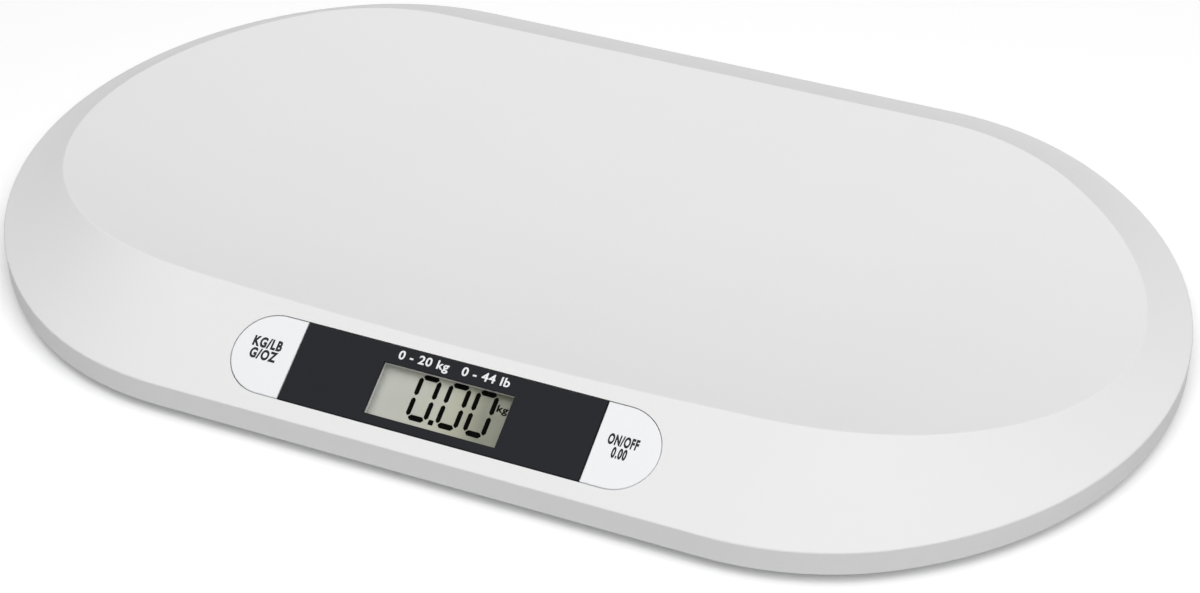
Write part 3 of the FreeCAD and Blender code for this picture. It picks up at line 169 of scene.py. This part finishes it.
# %% Materials
class Finish:
    """One material: a Principled shader, and the nodes that feed it."""

    def __init__(self, name, **constants):
        self.material = bpy.data.materials.new(name)
        self.material.use_nodes = True
        self.tree = self.material.node_tree
        self.shader = self.tree.nodes["Principled BSDF"]
        self.set(**constants)
        self.place = Value(self, self.node("ShaderNodeTexCoord").outputs["Object"])
        print("finish:", name)

    def set(self, **inputs):
        """Sets or links the shader's sockets: Base_Color=..., Roughness=..."""
        for key, value in inputs.items():
            self.feed(self.shader.inputs[key.replace("_", " ")], value)

    def feed(self, socket, value):
        """Links a socket to a value or another socket, or sets it to a number or colour."""
        if isinstance(value, Value):
            self.tree.links.new(value.socket, socket)
        elif isinstance(value, bpy.types.NodeSocket):
            self.tree.links.new(value, socket)
        else:
            socket.default_value = value

    def node(self, kind, settings=None, inputs=None):
        """Adds a node: first its settings, then its sockets by place or by name."""
        made = self.tree.nodes.new(kind)
        for key, value in (settings or {}).items():
            if key == "stops":
                self.set_stops(made.color_ramp, value)
            else:
                setattr(made, key, value)
        pairs = inputs.items() if isinstance(inputs, dict) else enumerate(inputs or [])
        for key, value in pairs:
            self.feed(made.inputs[key], value)
        return made

    def set_stops(self, ramp, stops):
        """Gives a colour ramp its stops, each a position and a colour."""
        while len(ramp.elements) > 1:
            ramp.elements.remove(ramp.elements[-1])
        for i, (position, colour) in enumerate(stops):
            element = ramp.elements[0] if i == 0 else ramp.elements.new(position)
            element.position = position
            element.color = colour

    def noise(self, size, detail=2.0, roughness=0.5, squeeze=(1, 1, 1)):
        """Cloudy noise from 0 to 1. Its lumps have a size in metres, and are squeezed along X, Y and Z."""
        spot = self.node("ShaderNodeMapping", None, {"Vector": self.place, "Scale": squeeze}).outputs[0]
        sockets = {"Vector": spot, "Scale": 1.0 / size, "Detail": detail, "Roughness": roughness}
        return Value(self, self.node("ShaderNodeTexNoise", None, sockets).outputs["Fac"])

    def pits(self, size):
        """Distance to the nearest of many scattered points: the grain of a spark-eroded mould."""
        sockets = {"Vector": self.place, "Scale": 1.0 / size}
        return Value(self, self.node("ShaderNodeTexVoronoi", None, sockets).outputs["Distance"])

    def axis(self, letter):
        """The place on the object along X, Y or Z, in metres."""
        split = self.node("ShaderNodeSeparateXYZ", None, [self.place])
        return Value(self, split.outputs[letter])

    def mix(self, factor, first, second):
        """Two colours mixed."""
        sockets = {0: factor, 6: first, 7: second}
        return self.node("ShaderNodeMix", {"data_type": "RGBA"}, sockets).outputs[2]

    def ramp(self, value, stops):
        """A value turned into a colour, by stops along a ramp."""
        return self.node("ShaderNodeValToRGB", {"stops": stops}, [value]).outputs[0]

    def bump(self, height, depth):
        """Tilts the surface by a height map, with depth in metres between its 0 and its 1."""
        sockets = {"Height": height, "Distance": depth}
        self.set(Normal=self.node("ShaderNodeBump", None, sockets).outputs[0])
        return self


print(Finish.__doc__)

# %% [markdown]
# ## Moulded white plastic
# The shell, the buttons and the lower housing are injection moulded. Their grain could be cut into the
# mesh, but it is far finer than any face, so a bump map makes it. It softens the reflections. The resin
# is never one even tone, so a slow noise moves the colour and the gloss by a few hundredths.

# %% White plastics
def moulded(name, colour, shade, roughness, grain, depth):
    """A moulded plastic with a fine grain, a slow drift of tone and a drift of gloss."""
    finish = Finish(name, Specular_IOR_Level=0.1)
    drift = finish.noise(0.11, 3.0, 0.55)
    fine = finish.noise(0.0035, 2.0, 0.6)
    finish.set(
        Base_Color=finish.mix(0.35 * drift + 0.10 * fine, linear(colour), linear(shade)),
        Roughness=roughness - 0.05 + 0.10 * drift + 0.04 * fine,
    )
    return finish.bump(finish.pits(grain) + 0.4 * finish.noise(grain * 3), depth)


shell_white = moulded("satin_white_shell", "E8E8E8", "E0E0E0", roughness=0.5, grain=0.0007, depth=6e-6)
button_white = moulded("satin_white_button", "EDEEF0", "E6E7EA", roughness=0.34, grain=0.0006, depth=4e-6)
cover_white = moulded("grained_white_cover", "E2E4E6", "D2D5D8", roughness=0.52, grain=0.0011, depth=2e-5)
foot_grey = moulded("grained_grey_foot", "C4C7CA", "B4B8BC", roughness=0.5, grain=0.0010, depth=2e-5)
carrier_white = moulded("plain_white_frame", "DCDCD8", "CFCFCB", roughness=0.45, grain=0.0009, depth=1e-5)
bracket_grey = moulded("dark_grey_bracket", "3C3E42", "2E3034", roughness=0.5, grain=0.0010, depth=2e-5)
switch_black = moulded("black_switch", "1C1C1E", "131315", roughness=0.45, grain=0.0005, depth=1e-5)

# %% [markdown]
# ## The black bezel and its window
# The bezel is a gloss-black plate with the faint orange-peel of a polished mould. The window is a clear
# insert. It could bend light as thick glass does, but a thin flat pane hardly does, so it is made by
# plain transparency.

# %% Bezel and window finishes
def gloss_black():
    """The bezel's polished black plastic."""
    finish = Finish("gloss_black_bezel", Coat_Weight=0.02, Coat_Roughness=0.12, Specular_IOR_Level=0.03)
    drift = finish.noise(0.03, 3.0)
    haze = finish.noise(0.0012, 2.0, 0.7)
    finish.set(
        Base_Color=finish.mix(0.5 * drift + 0.2 * haze, linear("1F2024"), linear("26272B")),
        Roughness=0.22 + 0.10 * drift + 0.06 * haze,
    )
    return finish.bump(finish.noise(0.004, 2.0), depth=1e-5)


def clear_window():
    """A clear pane with a faint smear."""
    finish = Finish("clear_window", Base_Color=linear("2A2E2C"), IOR=1.49, Specular_IOR_Level=0.1)
    smear = finish.noise(0.012, 4.0, 0.65, (1.0, 0.35, 1.0))
    finish.set(Roughness=0.05 + 0.07 * smear, Alpha=0.006 + 0.012 * smear)
    return finish.bump(finish.noise(0.006), depth=4e-6)


bezel_black = gloss_black()
window_clear = clear_window()

# %% [markdown]
# ## The display and the printing inks
# The display's glass is grey-green and lighter on its left, where the room's light reaches in under the
# bezel. Light alone would hardly show that through so small a window, so a colour ramp along the glass
# paints that light in: painted light, lighter on the left and darker to the right. Its lit bars are nearly
# black. The inks on the bezel and the buttons are flat films of one tone each.

# %% Display and ink finishes
def display_glass():
    """The display's grey-green ground, with painted light: lighter on the left and darker to the right."""
    low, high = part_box("lcd_glass")
    finish = Finish("grey_green_display", Specular_IOR_Level=0.45)
    along = (finish.axis("X") - low.x) / (high.x - low.x)
    cloud = finish.noise(0.015, 3.0)
    # painted light: these stops make the glass lighter on the left and darker to the right, for the light
    # that reaches in under the bezel
    stops = [
        (0.03, linear("A4A6A1")),
        (0.12, linear("B3B4AC")),
        (0.50, linear("B0B1A3")),
        (0.62, linear("A5A593")),
        (0.73, linear("898A78")),
        (0.80, linear("717363")),
        (0.95, linear("727464")),
    ]
    tone = finish.ramp(along + 0.03 * cloud, stops)
    finish.set(
        Base_Color=finish.mix(0.12 * finish.noise(0.0004), tone, linear("8F917C")),
        Roughness=0.3 + 0.1 * cloud,
    )
    return finish.bump(finish.noise(0.0006), depth=3e-6)


def display_ink():
    """A lit bar of the display: nearly black, and dull."""
    finish = Finish("display_ink", Specular_IOR_Level=0.0)
    edge = finish.noise(0.0006, 2.0)
    finish.set(
        Base_Color=finish.mix(edge, linear("050605"), linear("0E0F0C")),
        Roughness=0.35 + 0.1 * edge,
    )
    return finish


def printed(name, colour, second):
    """Screen-printed ink: a thin flat film with a slightly uneven edge and tone."""
    finish = Finish(name, Specular_IOR_Level=0.1)
    spread = finish.noise(0.0009, 3.0)
    finish.set(
        Base_Color=finish.mix(spread, linear(colour), linear(second)),
        Roughness=0.4 + 0.12 * spread,
    )
    return finish.bump(spread, depth=4e-6)


glass_green = display_glass()
ink_display = display_ink()
ink_white = printed("white_print", "F2F3F4", "E4E6E8")
ink_dark = printed("dark_print", "1C1D20", "2A2B2E")

# %% [markdown]
# ## The circuit board
# The lower housing can be opened, so its contents get finishes of their own. The board is lacquered green
# over copper tracks. A brick texture with long low bricks gives the tracks, because they too run in rows
# and break off at places, and it is turned by the panel's tilt, because the board lies along the panel.

# %% Circuit board finish
def circuit_board():
    """Green lacquer over copper tracks that run along the board."""
    finish = Finish("green_circuit_board", Coat_Weight=0.4, Coat_Roughness=0.15)
    lean = (-panel_tilt, 0, 0)
    spot = finish.node("ShaderNodeMapping", None, {"Vector": finish.place, "Rotation": lean}).outputs[0]
    sockets = {"Vector": spot, "Color1": grey(0.0), "Color2": grey(0.35), "Mortar": grey(1.0)}
    sockets.update({"Scale": 90.0, "Mortar Size": 0.03, "Brick Width": 1.4, "Row Height": 0.22})
    tracks = Value(finish, finish.node("ShaderNodeTexBrick", None, sockets).outputs["Color"])
    cloud = finish.noise(0.02, 3.0)
    finish.set(
        Base_Color=finish.mix((0.5 * tracks + 0.25 * cloud).held(), linear("1D5B35"), linear("3F8A55")),
        Roughness=0.3 + 0.12 * cloud,
    )
    return finish.bump(tracks, depth=3e-5)


board_green = circuit_board()

# %% [markdown]
# ## Metals
# The load cells are machined steel, the screws zinc-plated and the battery's contacts nickel-plated. Each
# has fine scratches along the way in which it was worked. Noise that is squeezed across the scratches
# gives them.

# %% Metals
def brushed(name, colour, shade, squeeze, roughness):
    """Metal with fine scratches along one direction."""
    finish = Finish(name, Metallic=1.0)
    lines = finish.noise(0.0006, 3.0, 0.7, squeeze)
    cloud = finish.noise(0.01, 2.0)
    finish.set(
        Base_Color=finish.mix(0.6 * lines + 0.3 * cloud, linear(colour), linear(shade)),
        Roughness=roughness + 0.15 * lines,
    )
    return finish.bump(lines, depth=8e-6)


cell_steel = brushed("machined_steel", "B9BBBD", "8E9093", squeeze=(1, 12, 1), roughness=0.28)
screw_steel = brushed("zinc_plated_steel", "B4B6BA", "84868C", squeeze=(6, 6, 1), roughness=0.3)
contact_metal = brushed("nickel_plated_steel", "D2D1CC", "AFAEA8", squeeze=(1, 1, 8), roughness=0.2)

# %% [markdown]
# ## Rubber, silicone, tape and resin
# These differ in tone and gloss, but share a soft fine grain and a little dust, so one function makes
# them all.

# %% Rubber and resin finishes
def rubbery(name, colour, shade, roughness):
    """A soft or dull material, with a little dust on it."""
    finish = Finish(name, Specular_IOR_Level=0.3)
    grain = finish.noise(0.0012, 3.0, 0.6)
    dust = finish.noise(0.02, 3.0)
    finish.set(
        Base_Color=finish.mix(0.5 * grain + 0.4 * dust, linear(colour), linear(shade)),
        Roughness=roughness + 0.1 * dust,
    )
    return finish.bump(grain, depth=3e-5)


pad_rubber = rubbery("dark_rubber", "2B2C2E", "3B3C3F", roughness=0.7)
silicone = rubbery("white_silicone", "E6E6E1", "D4D4CE", roughness=0.5)
contact_rubber = rubbery("layered_rubber", "5A5357", "3D383B", roughness=0.6)
tape_black = rubbery("black_adhesive", "1A1A1B", "262627", roughness=0.6)
epoxy_black = rubbery("black_epoxy", "0D0D0E", "1A1A1C", roughness=0.22)
reflector = rubbery("grey_reflector", "BDBDB5", "A9A9A1", roughness=0.4)

# %% [markdown]
# ## Batteries and the board's small parts
# A battery's sleeve changes colour along its length, and the board's small parts are one node with dark
# and bright bodies. Each could be cut into faces with materials of their own. A mask from the place along
# X does the same in one material and leaves the mesh alone.

# %% Battery and small part finishes
BAND_START = 9.5 * MM                # from the battery box's middle, towards a battery's positive end
BAND_END = 21.2 * MM
BRIGHT_X = 14.0 * MM                 # the board's small parts are bright to the right of this place


def battery_sleeve():
    """A plain printed sleeve: a dark body, and a copper-coloured band towards the positive end.

    The middle battery lies the other way round, so its side of the pattern is turned.
    """
    finish = Finish("battery_sleeve", Coat_Weight=0.5, Coat_Roughness=0.1)
    along = finish.axis("X")
    low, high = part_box("battery_cell_middle")
    turned = finish.axis("Y").over(low.y) * finish.axis("Y").under(high.y)
    toward = along * (1.0 - 2.0 * turned)
    band = toward.over(BAND_START) * toward.under(BAND_END)
    metal = toward.over(BAND_END)
    cloud = finish.noise(0.004, 2.0)
    body = finish.mix(cloud, linear("2C3036"), linear("363B42"))
    finish.set(
        Base_Color=finish.mix(metal, finish.mix(band, body, linear("B77A4C")), linear("C9C9C6")),
        Metallic=0.2 + 0.8 * metal,
        Roughness=0.28 + 0.1 * cloud,
    )
    return finish.bump(cloud, depth=4e-6)


def board_parts():
    """Small parts on the board: dark bodies, and bright ones on the side of the crystal and its can."""
    finish = Finish("small_components")
    can = finish.axis("X").over(BRIGHT_X)
    speck = finish.noise(0.0006, 2.0)
    finish.set(
        Base_Color=finish.mix(can, finish.mix(speck, linear("1B1C20"), linear("2B2D33")), linear("B9BBBE")),
        Metallic=0.9 * can,
        Roughness=0.3 + 0.15 * speck,
    )
    return finish.bump(speck, depth=1e-5)


sleeve = battery_sleeve()
components = board_parts()

# %% [markdown]
# ## Wires
# Each lead is sleeved. The four load cells' leads are grey and the battery's two leads are red and black,
# which is how one tells them apart in such a product. The two battery leads are one node, so one finish
# colours them by the side that they lie on.

# %% Lead finishes
def lead_skin(name, colour, shade):
    """A lead's plain sleeve."""
    finish = Finish(name, Specular_IOR_Level=0.4)
    weave = finish.noise(0.0009, 3.0, 0.6)
    finish.set(
        Base_Color=finish.mix(weave, linear(colour), linear(shade)),
        Roughness=0.42 + 0.12 * weave,
    )
    return finish.bump(weave, depth=2e-5)


def power_leads():
    """The battery's leads: black on the left, red on the right."""
    finish = Finish("red_and_black_leads", Specular_IOR_Level=0.4)
    right = finish.axis("X").over(0.0)
    weave = finish.noise(0.0009, 3.0, 0.6)
    black = finish.mix(weave, linear("17171A"), linear("232326"))
    finish.set(Base_Color=finish.mix(right, black, linear("A81F1A")), Roughness=0.4 + 0.12 * weave)
    return finish.bump(weave, depth=2e-5)


lead_grey = lead_skin("grey_leads", "A7AAAE", "8F9296")
lead_pair = power_leads()

# %% [markdown]
# ## Dressing the CAD nodes
# A CAD node keeps its mesh. Only its material is set here, from one list of finishes and node names.

# %% Dress
def dress(finish, *names):
    """Gives nodes a finish."""
    for name in names:
        mesh = nodes[name].data
        mesh.materials.clear()
        mesh.materials.append(finish.material)


CELLS = ("front_left", "front_right", "back_left", "back_right")
dress(shell_white, "top_shell")
dress(cover_white, "bottom_cover", "battery_door")
dress(button_white, "unit_button", "power_button")
dress(bezel_black, "display_bezel")
dress(window_clear, "display_window")
dress(glass_green, "lcd_glass")
dress(reflector, "lcd_backing")
dress(contact_rubber, "lcd_contact_strips")
dress(carrier_white, "lcd_frame")
dress(tape_black, "bezel_tape")
dress(board_green, "main_board")
dress(epoxy_black, "controller_chip")
dress(components, "board_components")
dress(screw_steel, "board_screws", "bracket_screws", "case_screws")
dress(switch_black, "unit_switch", "power_switch", "unit_plunger", "power_plunger")
dress(sleeve, "battery_cell_front", "battery_cell_middle", "battery_cell_back")
dress(contact_metal, "contact_plates", "contact_springs")
dress(lead_pair, "battery_leads")
for cell in CELLS:
    dress(cell_steel, "load_cell_" + cell)
    dress(silicone, "gauge_cover_" + cell)
    dress(bracket_grey, "cell_bracket_" + cell)
    dress(foot_grey, "foot_" + cell)
    dress(pad_rubber, "foot_pad_" + cell)
    dress(lead_grey, "cell_lead_" + cell)
print("dressed:", sum(1 for o in nodes.values() if o.data.materials), "of", len(nodes))

# %% [markdown]
# ## Helpers for printed and displayed marks
# A mark could be a picture in a material, but a mesh stays sharp from close by and needs no unwrapped
# surface. So a mark is a flat shape with a hair of thickness, which keeps it a closed mesh. It is drawn
# in the panel's frame at a height above the bezel's face, and then the panel's matrix is applied to the
# mesh itself, not to the object.

# %% Marks
FILM = 0.03 * MM                     # thickness of a mark


def keep(name, bm, finish, body):
    """Puts a finished bmesh into the scene as a piece that rides on a body."""
    mesh = bpy.data.meshes.new(name)
    bmesh.ops.recalc_face_normals(bm, faces=bm.faces)
    bm.to_mesh(mesh)
    bm.free()
    mesh.materials.append(finish.material)
    piece = bpy.data.objects.new(name, mesh)
    bpy.context.scene.collection.objects.link(piece)
    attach(piece, body)
    print(name, "faces:", len(mesh.polygons))


def lift(bm, height):
    """Carries a mark to the panel, at a height above its face."""
    bmesh.ops.translate(bm, vec=(0, 0, height), verts=bm.verts)
    bmesh.ops.transform(bm, matrix=PANEL, verts=bm.verts)
    return bm


print("a mark's thickness in mm:", FILM / MM, "display's depth in mm:", round(glass_depth / MM, 2))

# %% [markdown]
# ## Lettering
# Words come from a text curve in Blender's own font, turned into a mesh. That font has no bold cut, so a
# bevel of the letters' edges thickens them, and bolder letters are set farther apart to keep their gaps
# open. The mesh is then stretched to the width that the print needs.

# %% Lettering
SPREAD = 3.0                         # how much farther apart bold letters stand, per share of boldness
LINE_PITCH = 0.88                    # from line to line, as a share of the font's own pitch
WELD = 0.0001 * MM                   # points closer than this are one


def lettering(lines, size, x, y, width, bold):
    """Text as a thin closed mesh of a given width, centred on a point of the panel, at height 0.

    A bevel of the letters' edges, by a share of their size, makes them bold. It's then pressed flat.
    """
    curve = bpy.data.curves.new("lettering", "FONT")
    curve.body = "\n".join(lines)
    curve.size = size
    curve.space_line = LINE_PITCH
    curve.space_character = 1.0 + SPREAD * bold
    curve.align_x = "CENTER"
    curve.align_y = "CENTER"
    curve.bevel_depth = bold * size
    curve.bevel_resolution = 0
    holder = bpy.data.objects.new("lettering", curve)
    bpy.context.scene.collection.objects.link(holder)
    shape = bpy.data.meshes.new_from_object(holder.evaluated_get(bpy.context.evaluated_depsgraph_get()))
    bm = bmesh.new()
    bm.from_mesh(shape)
    bpy.data.objects.remove(holder)
    bmesh.ops.remove_doubles(bm, verts=bm.verts, dist=WELD)
    curve_depth = max(v.co.z for v in bm.verts)
    low_x, high_x = min(v.co.x for v in bm.verts), max(v.co.x for v in bm.verts)
    low_y, high_y = min(v.co.y for v in bm.verts), max(v.co.y for v in bm.verts)
    bmesh.ops.translate(bm, vec=(-(low_x + high_x) / 2, -(low_y + high_y) / 2, 0), verts=bm.verts)
    bmesh.ops.scale(bm, vec=(width / (high_x - low_x), 1.0, FILM / 2 / curve_depth), verts=bm.verts)
    bmesh.ops.translate(bm, vec=(x, y, FILM / 2), verts=bm.verts)
    return bm


print("lettering is stretched to a width, with its lines at", LINE_PITCH, "of the usual pitch")

# %% [markdown]
# ## A display's bar
# A digit could be a letter of a font, but a display's bars have their own proportions. Each bar is a grid
# face here, extruded by a film's thickness. A bevel of its vertices cuts its corners to blunt points, so
# that neighbours meet with a slanted gap.

# %% Bars
CORNER_CUT = 0.4                     # as a share of the bar's thickness


def bar(bm, x, y, width, height, cut=CORNER_CUT):
    """One bar, centred on a point, with its corners cut by a share of its thickness."""
    verts = bmesh.ops.create_grid(bm, x_segments=1, y_segments=1, size=0.5)["verts"]
    bmesh.ops.scale(bm, vec=(width, height, 1.0), verts=verts)
    offset = cut * min(width, height)
    made = bmesh.ops.bevel(
        bm,
        geom=verts,
        offset=offset,
        offset_type="OFFSET",
        segments=1,
        profile=0.5,
        affect="VERTICES",
        material=-1,
    )
    faces = list({f for v in made["verts"] for f in v.link_faces})
    raised = bmesh.ops.extrude_face_region(bm, geom=faces)
    top = [v for v in raised["geom"] if isinstance(v, bmesh.types.BMVert)]
    bmesh.ops.translate(bm, vec=(0, 0, FILM), verts=top)
    every = list({v for f in faces for v in f.verts}) + top
    bmesh.ops.translate(bm, vec=(x, y, 0), verts=every)


print("a bar's corners are cut by", CORNER_CUT, "of its thickness")

# %% [markdown]
# ## Digits
# A seven-segment digit has three level bars and four upright ones, each named by a letter, and a number
# is the set of its lit bars. The display reads 0.00, so three noughts and a point are lit, and beside
# them the unit.

# %% Digits
DIGIT_REACH_X = 8.1 * MM             # between the middles of a digit's upright bars
DIGIT_REACH_Y = 18.5 * MM            # between the middles of its top and bottom bars
DIGIT_MIDDLES = (-8.72 * MM, 4.77 * MM, 17.26 * MM)
DIGIT_Y = 0.02 * MM
UPRIGHT_BAR = 2.05 * MM              # thickness of the bars
LEVEL_BAR = 2.5 * MM
BAR_GAP = 1.15 * MM                  # how much shorter a bar is than the way between two corners
POINT_X = -1.9 * MM
POINT_SIZE = 2.25 * MM
POINT_CUT = 0.12                     # as a share of the point's size
ZERO = "abcdef"                      # the bars that a nought lights
BARS = {                             # middle across and up, as shares of the reach, and whether it's upright
    "a": (0.0, 0.5, False),
    "b": (0.5, 0.25, True),
    "c": (0.5, -0.25, True),
    "d": (0.0, -0.5, False),
    "e": (-0.5, -0.25, True),
    "f": (-0.5, 0.25, True),
    "g": (0.0, 0.0, False),
}


def digit(bm, x, y, lit):
    """The lit bars of one digit, centred on a point."""
    upright_size = (UPRIGHT_BAR, DIGIT_REACH_Y / 2 - BAR_GAP)
    level_size = (DIGIT_REACH_X - BAR_GAP, LEVEL_BAR)
    for name in lit:
        across, up, upright = BARS[name]
        size = upright_size if upright else level_size
        bar(bm, x + across * DIGIT_REACH_X, y + up * DIGIT_REACH_Y, *size)


bm = bmesh.new()
for middle in DIGIT_MIDDLES:
    digit(bm, middle, DIGIT_Y, ZERO)
bar(bm, POINT_X, DIGIT_Y - DIGIT_REACH_Y / 2, POINT_SIZE, POINT_SIZE, POINT_CUT)
keep("display_digits", lift(bm, -glass_depth), ink_display, "housing")

unit_mark = lettering(["kg"], size=4.3 * MM, x=25.35 * MM, y=3.8 * MM, width=5.0 * MM, bold=0.03)
keep("display_unit_mark", lift(unit_mark, -glass_depth), ink_display, "housing")

# %% [markdown]
# ## Printed marks
# The bezel carries a plain range of numbers above the window, and each button two short labels. They are
# screen prints on the real thing, so they lie on the surface with next to no height, and a button's
# labels ride on it.

# %% Prints
numbers = lettering(
    ["0 - 20 kg   0 - 44 lb"], size=5.4 * MM, x=0.5 * MM, y=13.9 * MM, width=50.6 * MM, bold=0.032
)
keep("bezel_numbers", lift(numbers, 0.0), ink_white, "housing")

KEY_SIZE = 6.1 * MM
KEY_BOLD = 0.05
key = lettering(["ON/OFF", "0.00"], size=KEY_SIZE, x=80.0 * MM, y=0.2 * MM, width=13.2 * MM, bold=KEY_BOLD)
keep("power_key_print", lift(key, 0.0), ink_dark, "power_button")
key = lettering(["KG/LB", "G/OZ"], size=KEY_SIZE, x=-81.9 * MM, y=1.6 * MM, width=13.6 * MM, bold=KEY_BOLD)
keep("unit_key_print", lift(key, 0.0), ink_dark, "unit_button")

# %% [markdown]
# ## Floor
# A plain white floor keeps the object's soft shadow. A lamp strong enough to turn it white would burn out
# the white object on it, so the floor adds a little light of its own where the camera sees it. Farther
# out, where the lamp's light fades, it glows by itself up to the backdrop's white. To the object it is a
# pale grey that lights it gently from below.

# %% Floor
FLOOR_HALF = 6.0                     # metres from the object to the floor's edge
FLOOR_NEAR = 0.7                     # up to here the floor shows its lit surface and a little glow
FLOOR_FADE = 1.0                     # and over this length it turns into the backdrop's white
FLOOR_SEEN = 0.96                    # share of its light that the lit surface sends to the camera
FLOOR_GLOW = 0.1                     # the glow that it adds to that, against 1 for white
FLOOR_UNSEEN = 0.74                  # share of its light that it sends back to the object


def floor_material():
    """A floor with one face for the camera and another for the light that bounces to the object."""
    finish = Finish("studio_floor")
    plain = finish.node("ShaderNodeBsdfDiffuse", None, {"Color": grey(FLOOR_SEEN)})
    glow = finish.node("ShaderNodeEmission", None, {"Color": grey(1.0), "Strength": FLOOR_GLOW})
    near = finish.node("ShaderNodeAddShader", None, [plain.outputs[0], glow.outputs[0]])
    white = finish.node("ShaderNodeEmission", None, {"Color": grey(1.0), "Strength": 1.0})
    length = finish.node("ShaderNodeVectorMath", {"operation": "LENGTH"}, [finish.place])
    away = Value(finish, length.outputs["Value"])
    far = ((away - FLOOR_NEAR) / FLOOR_FADE).held()
    shown = finish.node("ShaderNodeMixShader", None, [far, near.outputs[0], white.outputs[0]])
    unseen = finish.node("ShaderNodeBsdfDiffuse", None, {"Color": grey(FLOOR_UNSEEN)})
    seen = finish.node("ShaderNodeLightPath").outputs["Is Camera Ray"]
    whole = finish.node("ShaderNodeMixShader", None, [seen, unseen.outputs[0], shown.outputs[0]])
    finish.tree.links.new(whole.outputs[0], finish.tree.nodes["Material Output"].inputs["Surface"])
    return finish


bm = bmesh.new()
bmesh.ops.create_grid(bm, x_segments=2, y_segments=2, size=FLOOR_HALF)
mesh = bpy.data.meshes.new("floor")
bm.to_mesh(mesh)
bm.free()
mesh.materials.append(floor_material().material)
floor = bpy.data.objects.new("floor", mesh)
bpy.context.scene.collection.objects.link(floor)
print("floor faces:", len(mesh.polygons))

# %% [markdown]
# ## Light
# The backdrop is white to the camera and in reflections, but gives almost no light, because light from
# all round would flatten the dish. One broad lamp above and to the front right does the lighting. It
# makes the left and back slopes a little darker, and its width keeps the shadow soft.

# %% Light
AMBIENT = 0.04                       # light from all round, against 1 for the backdrop itself
LAMP_PLACE = Vector((0.42, -0.62, 2.3))
LAMP_WIDTH = 3.8
LAMP_POWER = 101.5                   # watts

world = bpy.data.worlds.new("studio")
bpy.context.scene.world = world
world.use_nodes = True
sky = world.node_tree
backdrop = sky.nodes["Background"]
backdrop.inputs["Color"].default_value = grey(1.0)
path = sky.nodes.new("ShaderNodeLightPath")
seen = path.outputs["Is Camera Ray"]
for kind in ("Is Glossy Ray", "Is Transmission Ray"):
    either = sky.nodes.new("ShaderNodeMath")
    either.operation = "MAXIMUM"
    sky.links.new(seen, either.inputs[0])
    sky.links.new(path.outputs[kind], either.inputs[1])
    seen = either.outputs[0]
strength = sky.nodes.new("ShaderNodeMath")
strength.operation = "MULTIPLY_ADD"
strength.inputs[1].default_value = 1.0 - AMBIENT
strength.inputs[2].default_value = AMBIENT
sky.links.new(seen, strength.inputs[0])
sky.links.new(strength.outputs[0], backdrop.inputs["Strength"])

light = bpy.data.lights.new("key_lamp", "AREA")
light.size = LAMP_WIDTH
light.energy = LAMP_POWER
lamp = bpy.data.objects.new("key_lamp", light)
lamp.location = LAMP_PLACE
lamp.rotation_euler = (-LAMP_PLACE).to_track_quat("-Z", "Y").to_euler()
bpy.context.scene.collection.objects.link(lamp)
print("lamp's distance in metres:", round(LAMP_PLACE.length, 3))

# %% [markdown]
# ## Camera
# The camera stands in front and a little to the right, well above the pan. It could aim at the object by
# a constraint, but plain angles say where it looks without a hidden rule. A long lens from farther away
# keeps the near edge from swelling.

# %% Camera
CAMERA_PLACE = Vector((0.37816, -0.87268, 0.67288))
CAMERA_YAW = math.radians(22.96)
CAMERA_PITCH = math.radians(35.97)
SENSOR = 36.0
FOCAL_SHARE = 2541.5 / 1200.0        # focal length as a share of the frame's width

camera = bpy.data.cameras.new("camera")
camera.sensor_width = SENSOR
camera.lens = FOCAL_SHARE * SENSOR
camera.clip_start = 0.05
camera.clip_end = 50.0
eye = bpy.data.objects.new("camera", camera)
level_share = math.cos(CAMERA_PITCH)
back = Vector(
    (
        math.sin(CAMERA_YAW) * level_share,
        -math.cos(CAMERA_YAW) * level_share,
        math.sin(CAMERA_PITCH),
    )
)
eye.location = CAMERA_PLACE
eye.rotation_euler = (-back).to_track_quat("-Z", "Y").to_euler()
bpy.context.scene.collection.objects.link(eye)
bpy.context.scene.camera = eye
bpy.context.scene.view_settings.view_transform = "Standard"
print("lens in mm:", round(camera.lens, 2), "distance in metres:", round(CAMERA_PLACE.length, 3))

# %% [markdown]
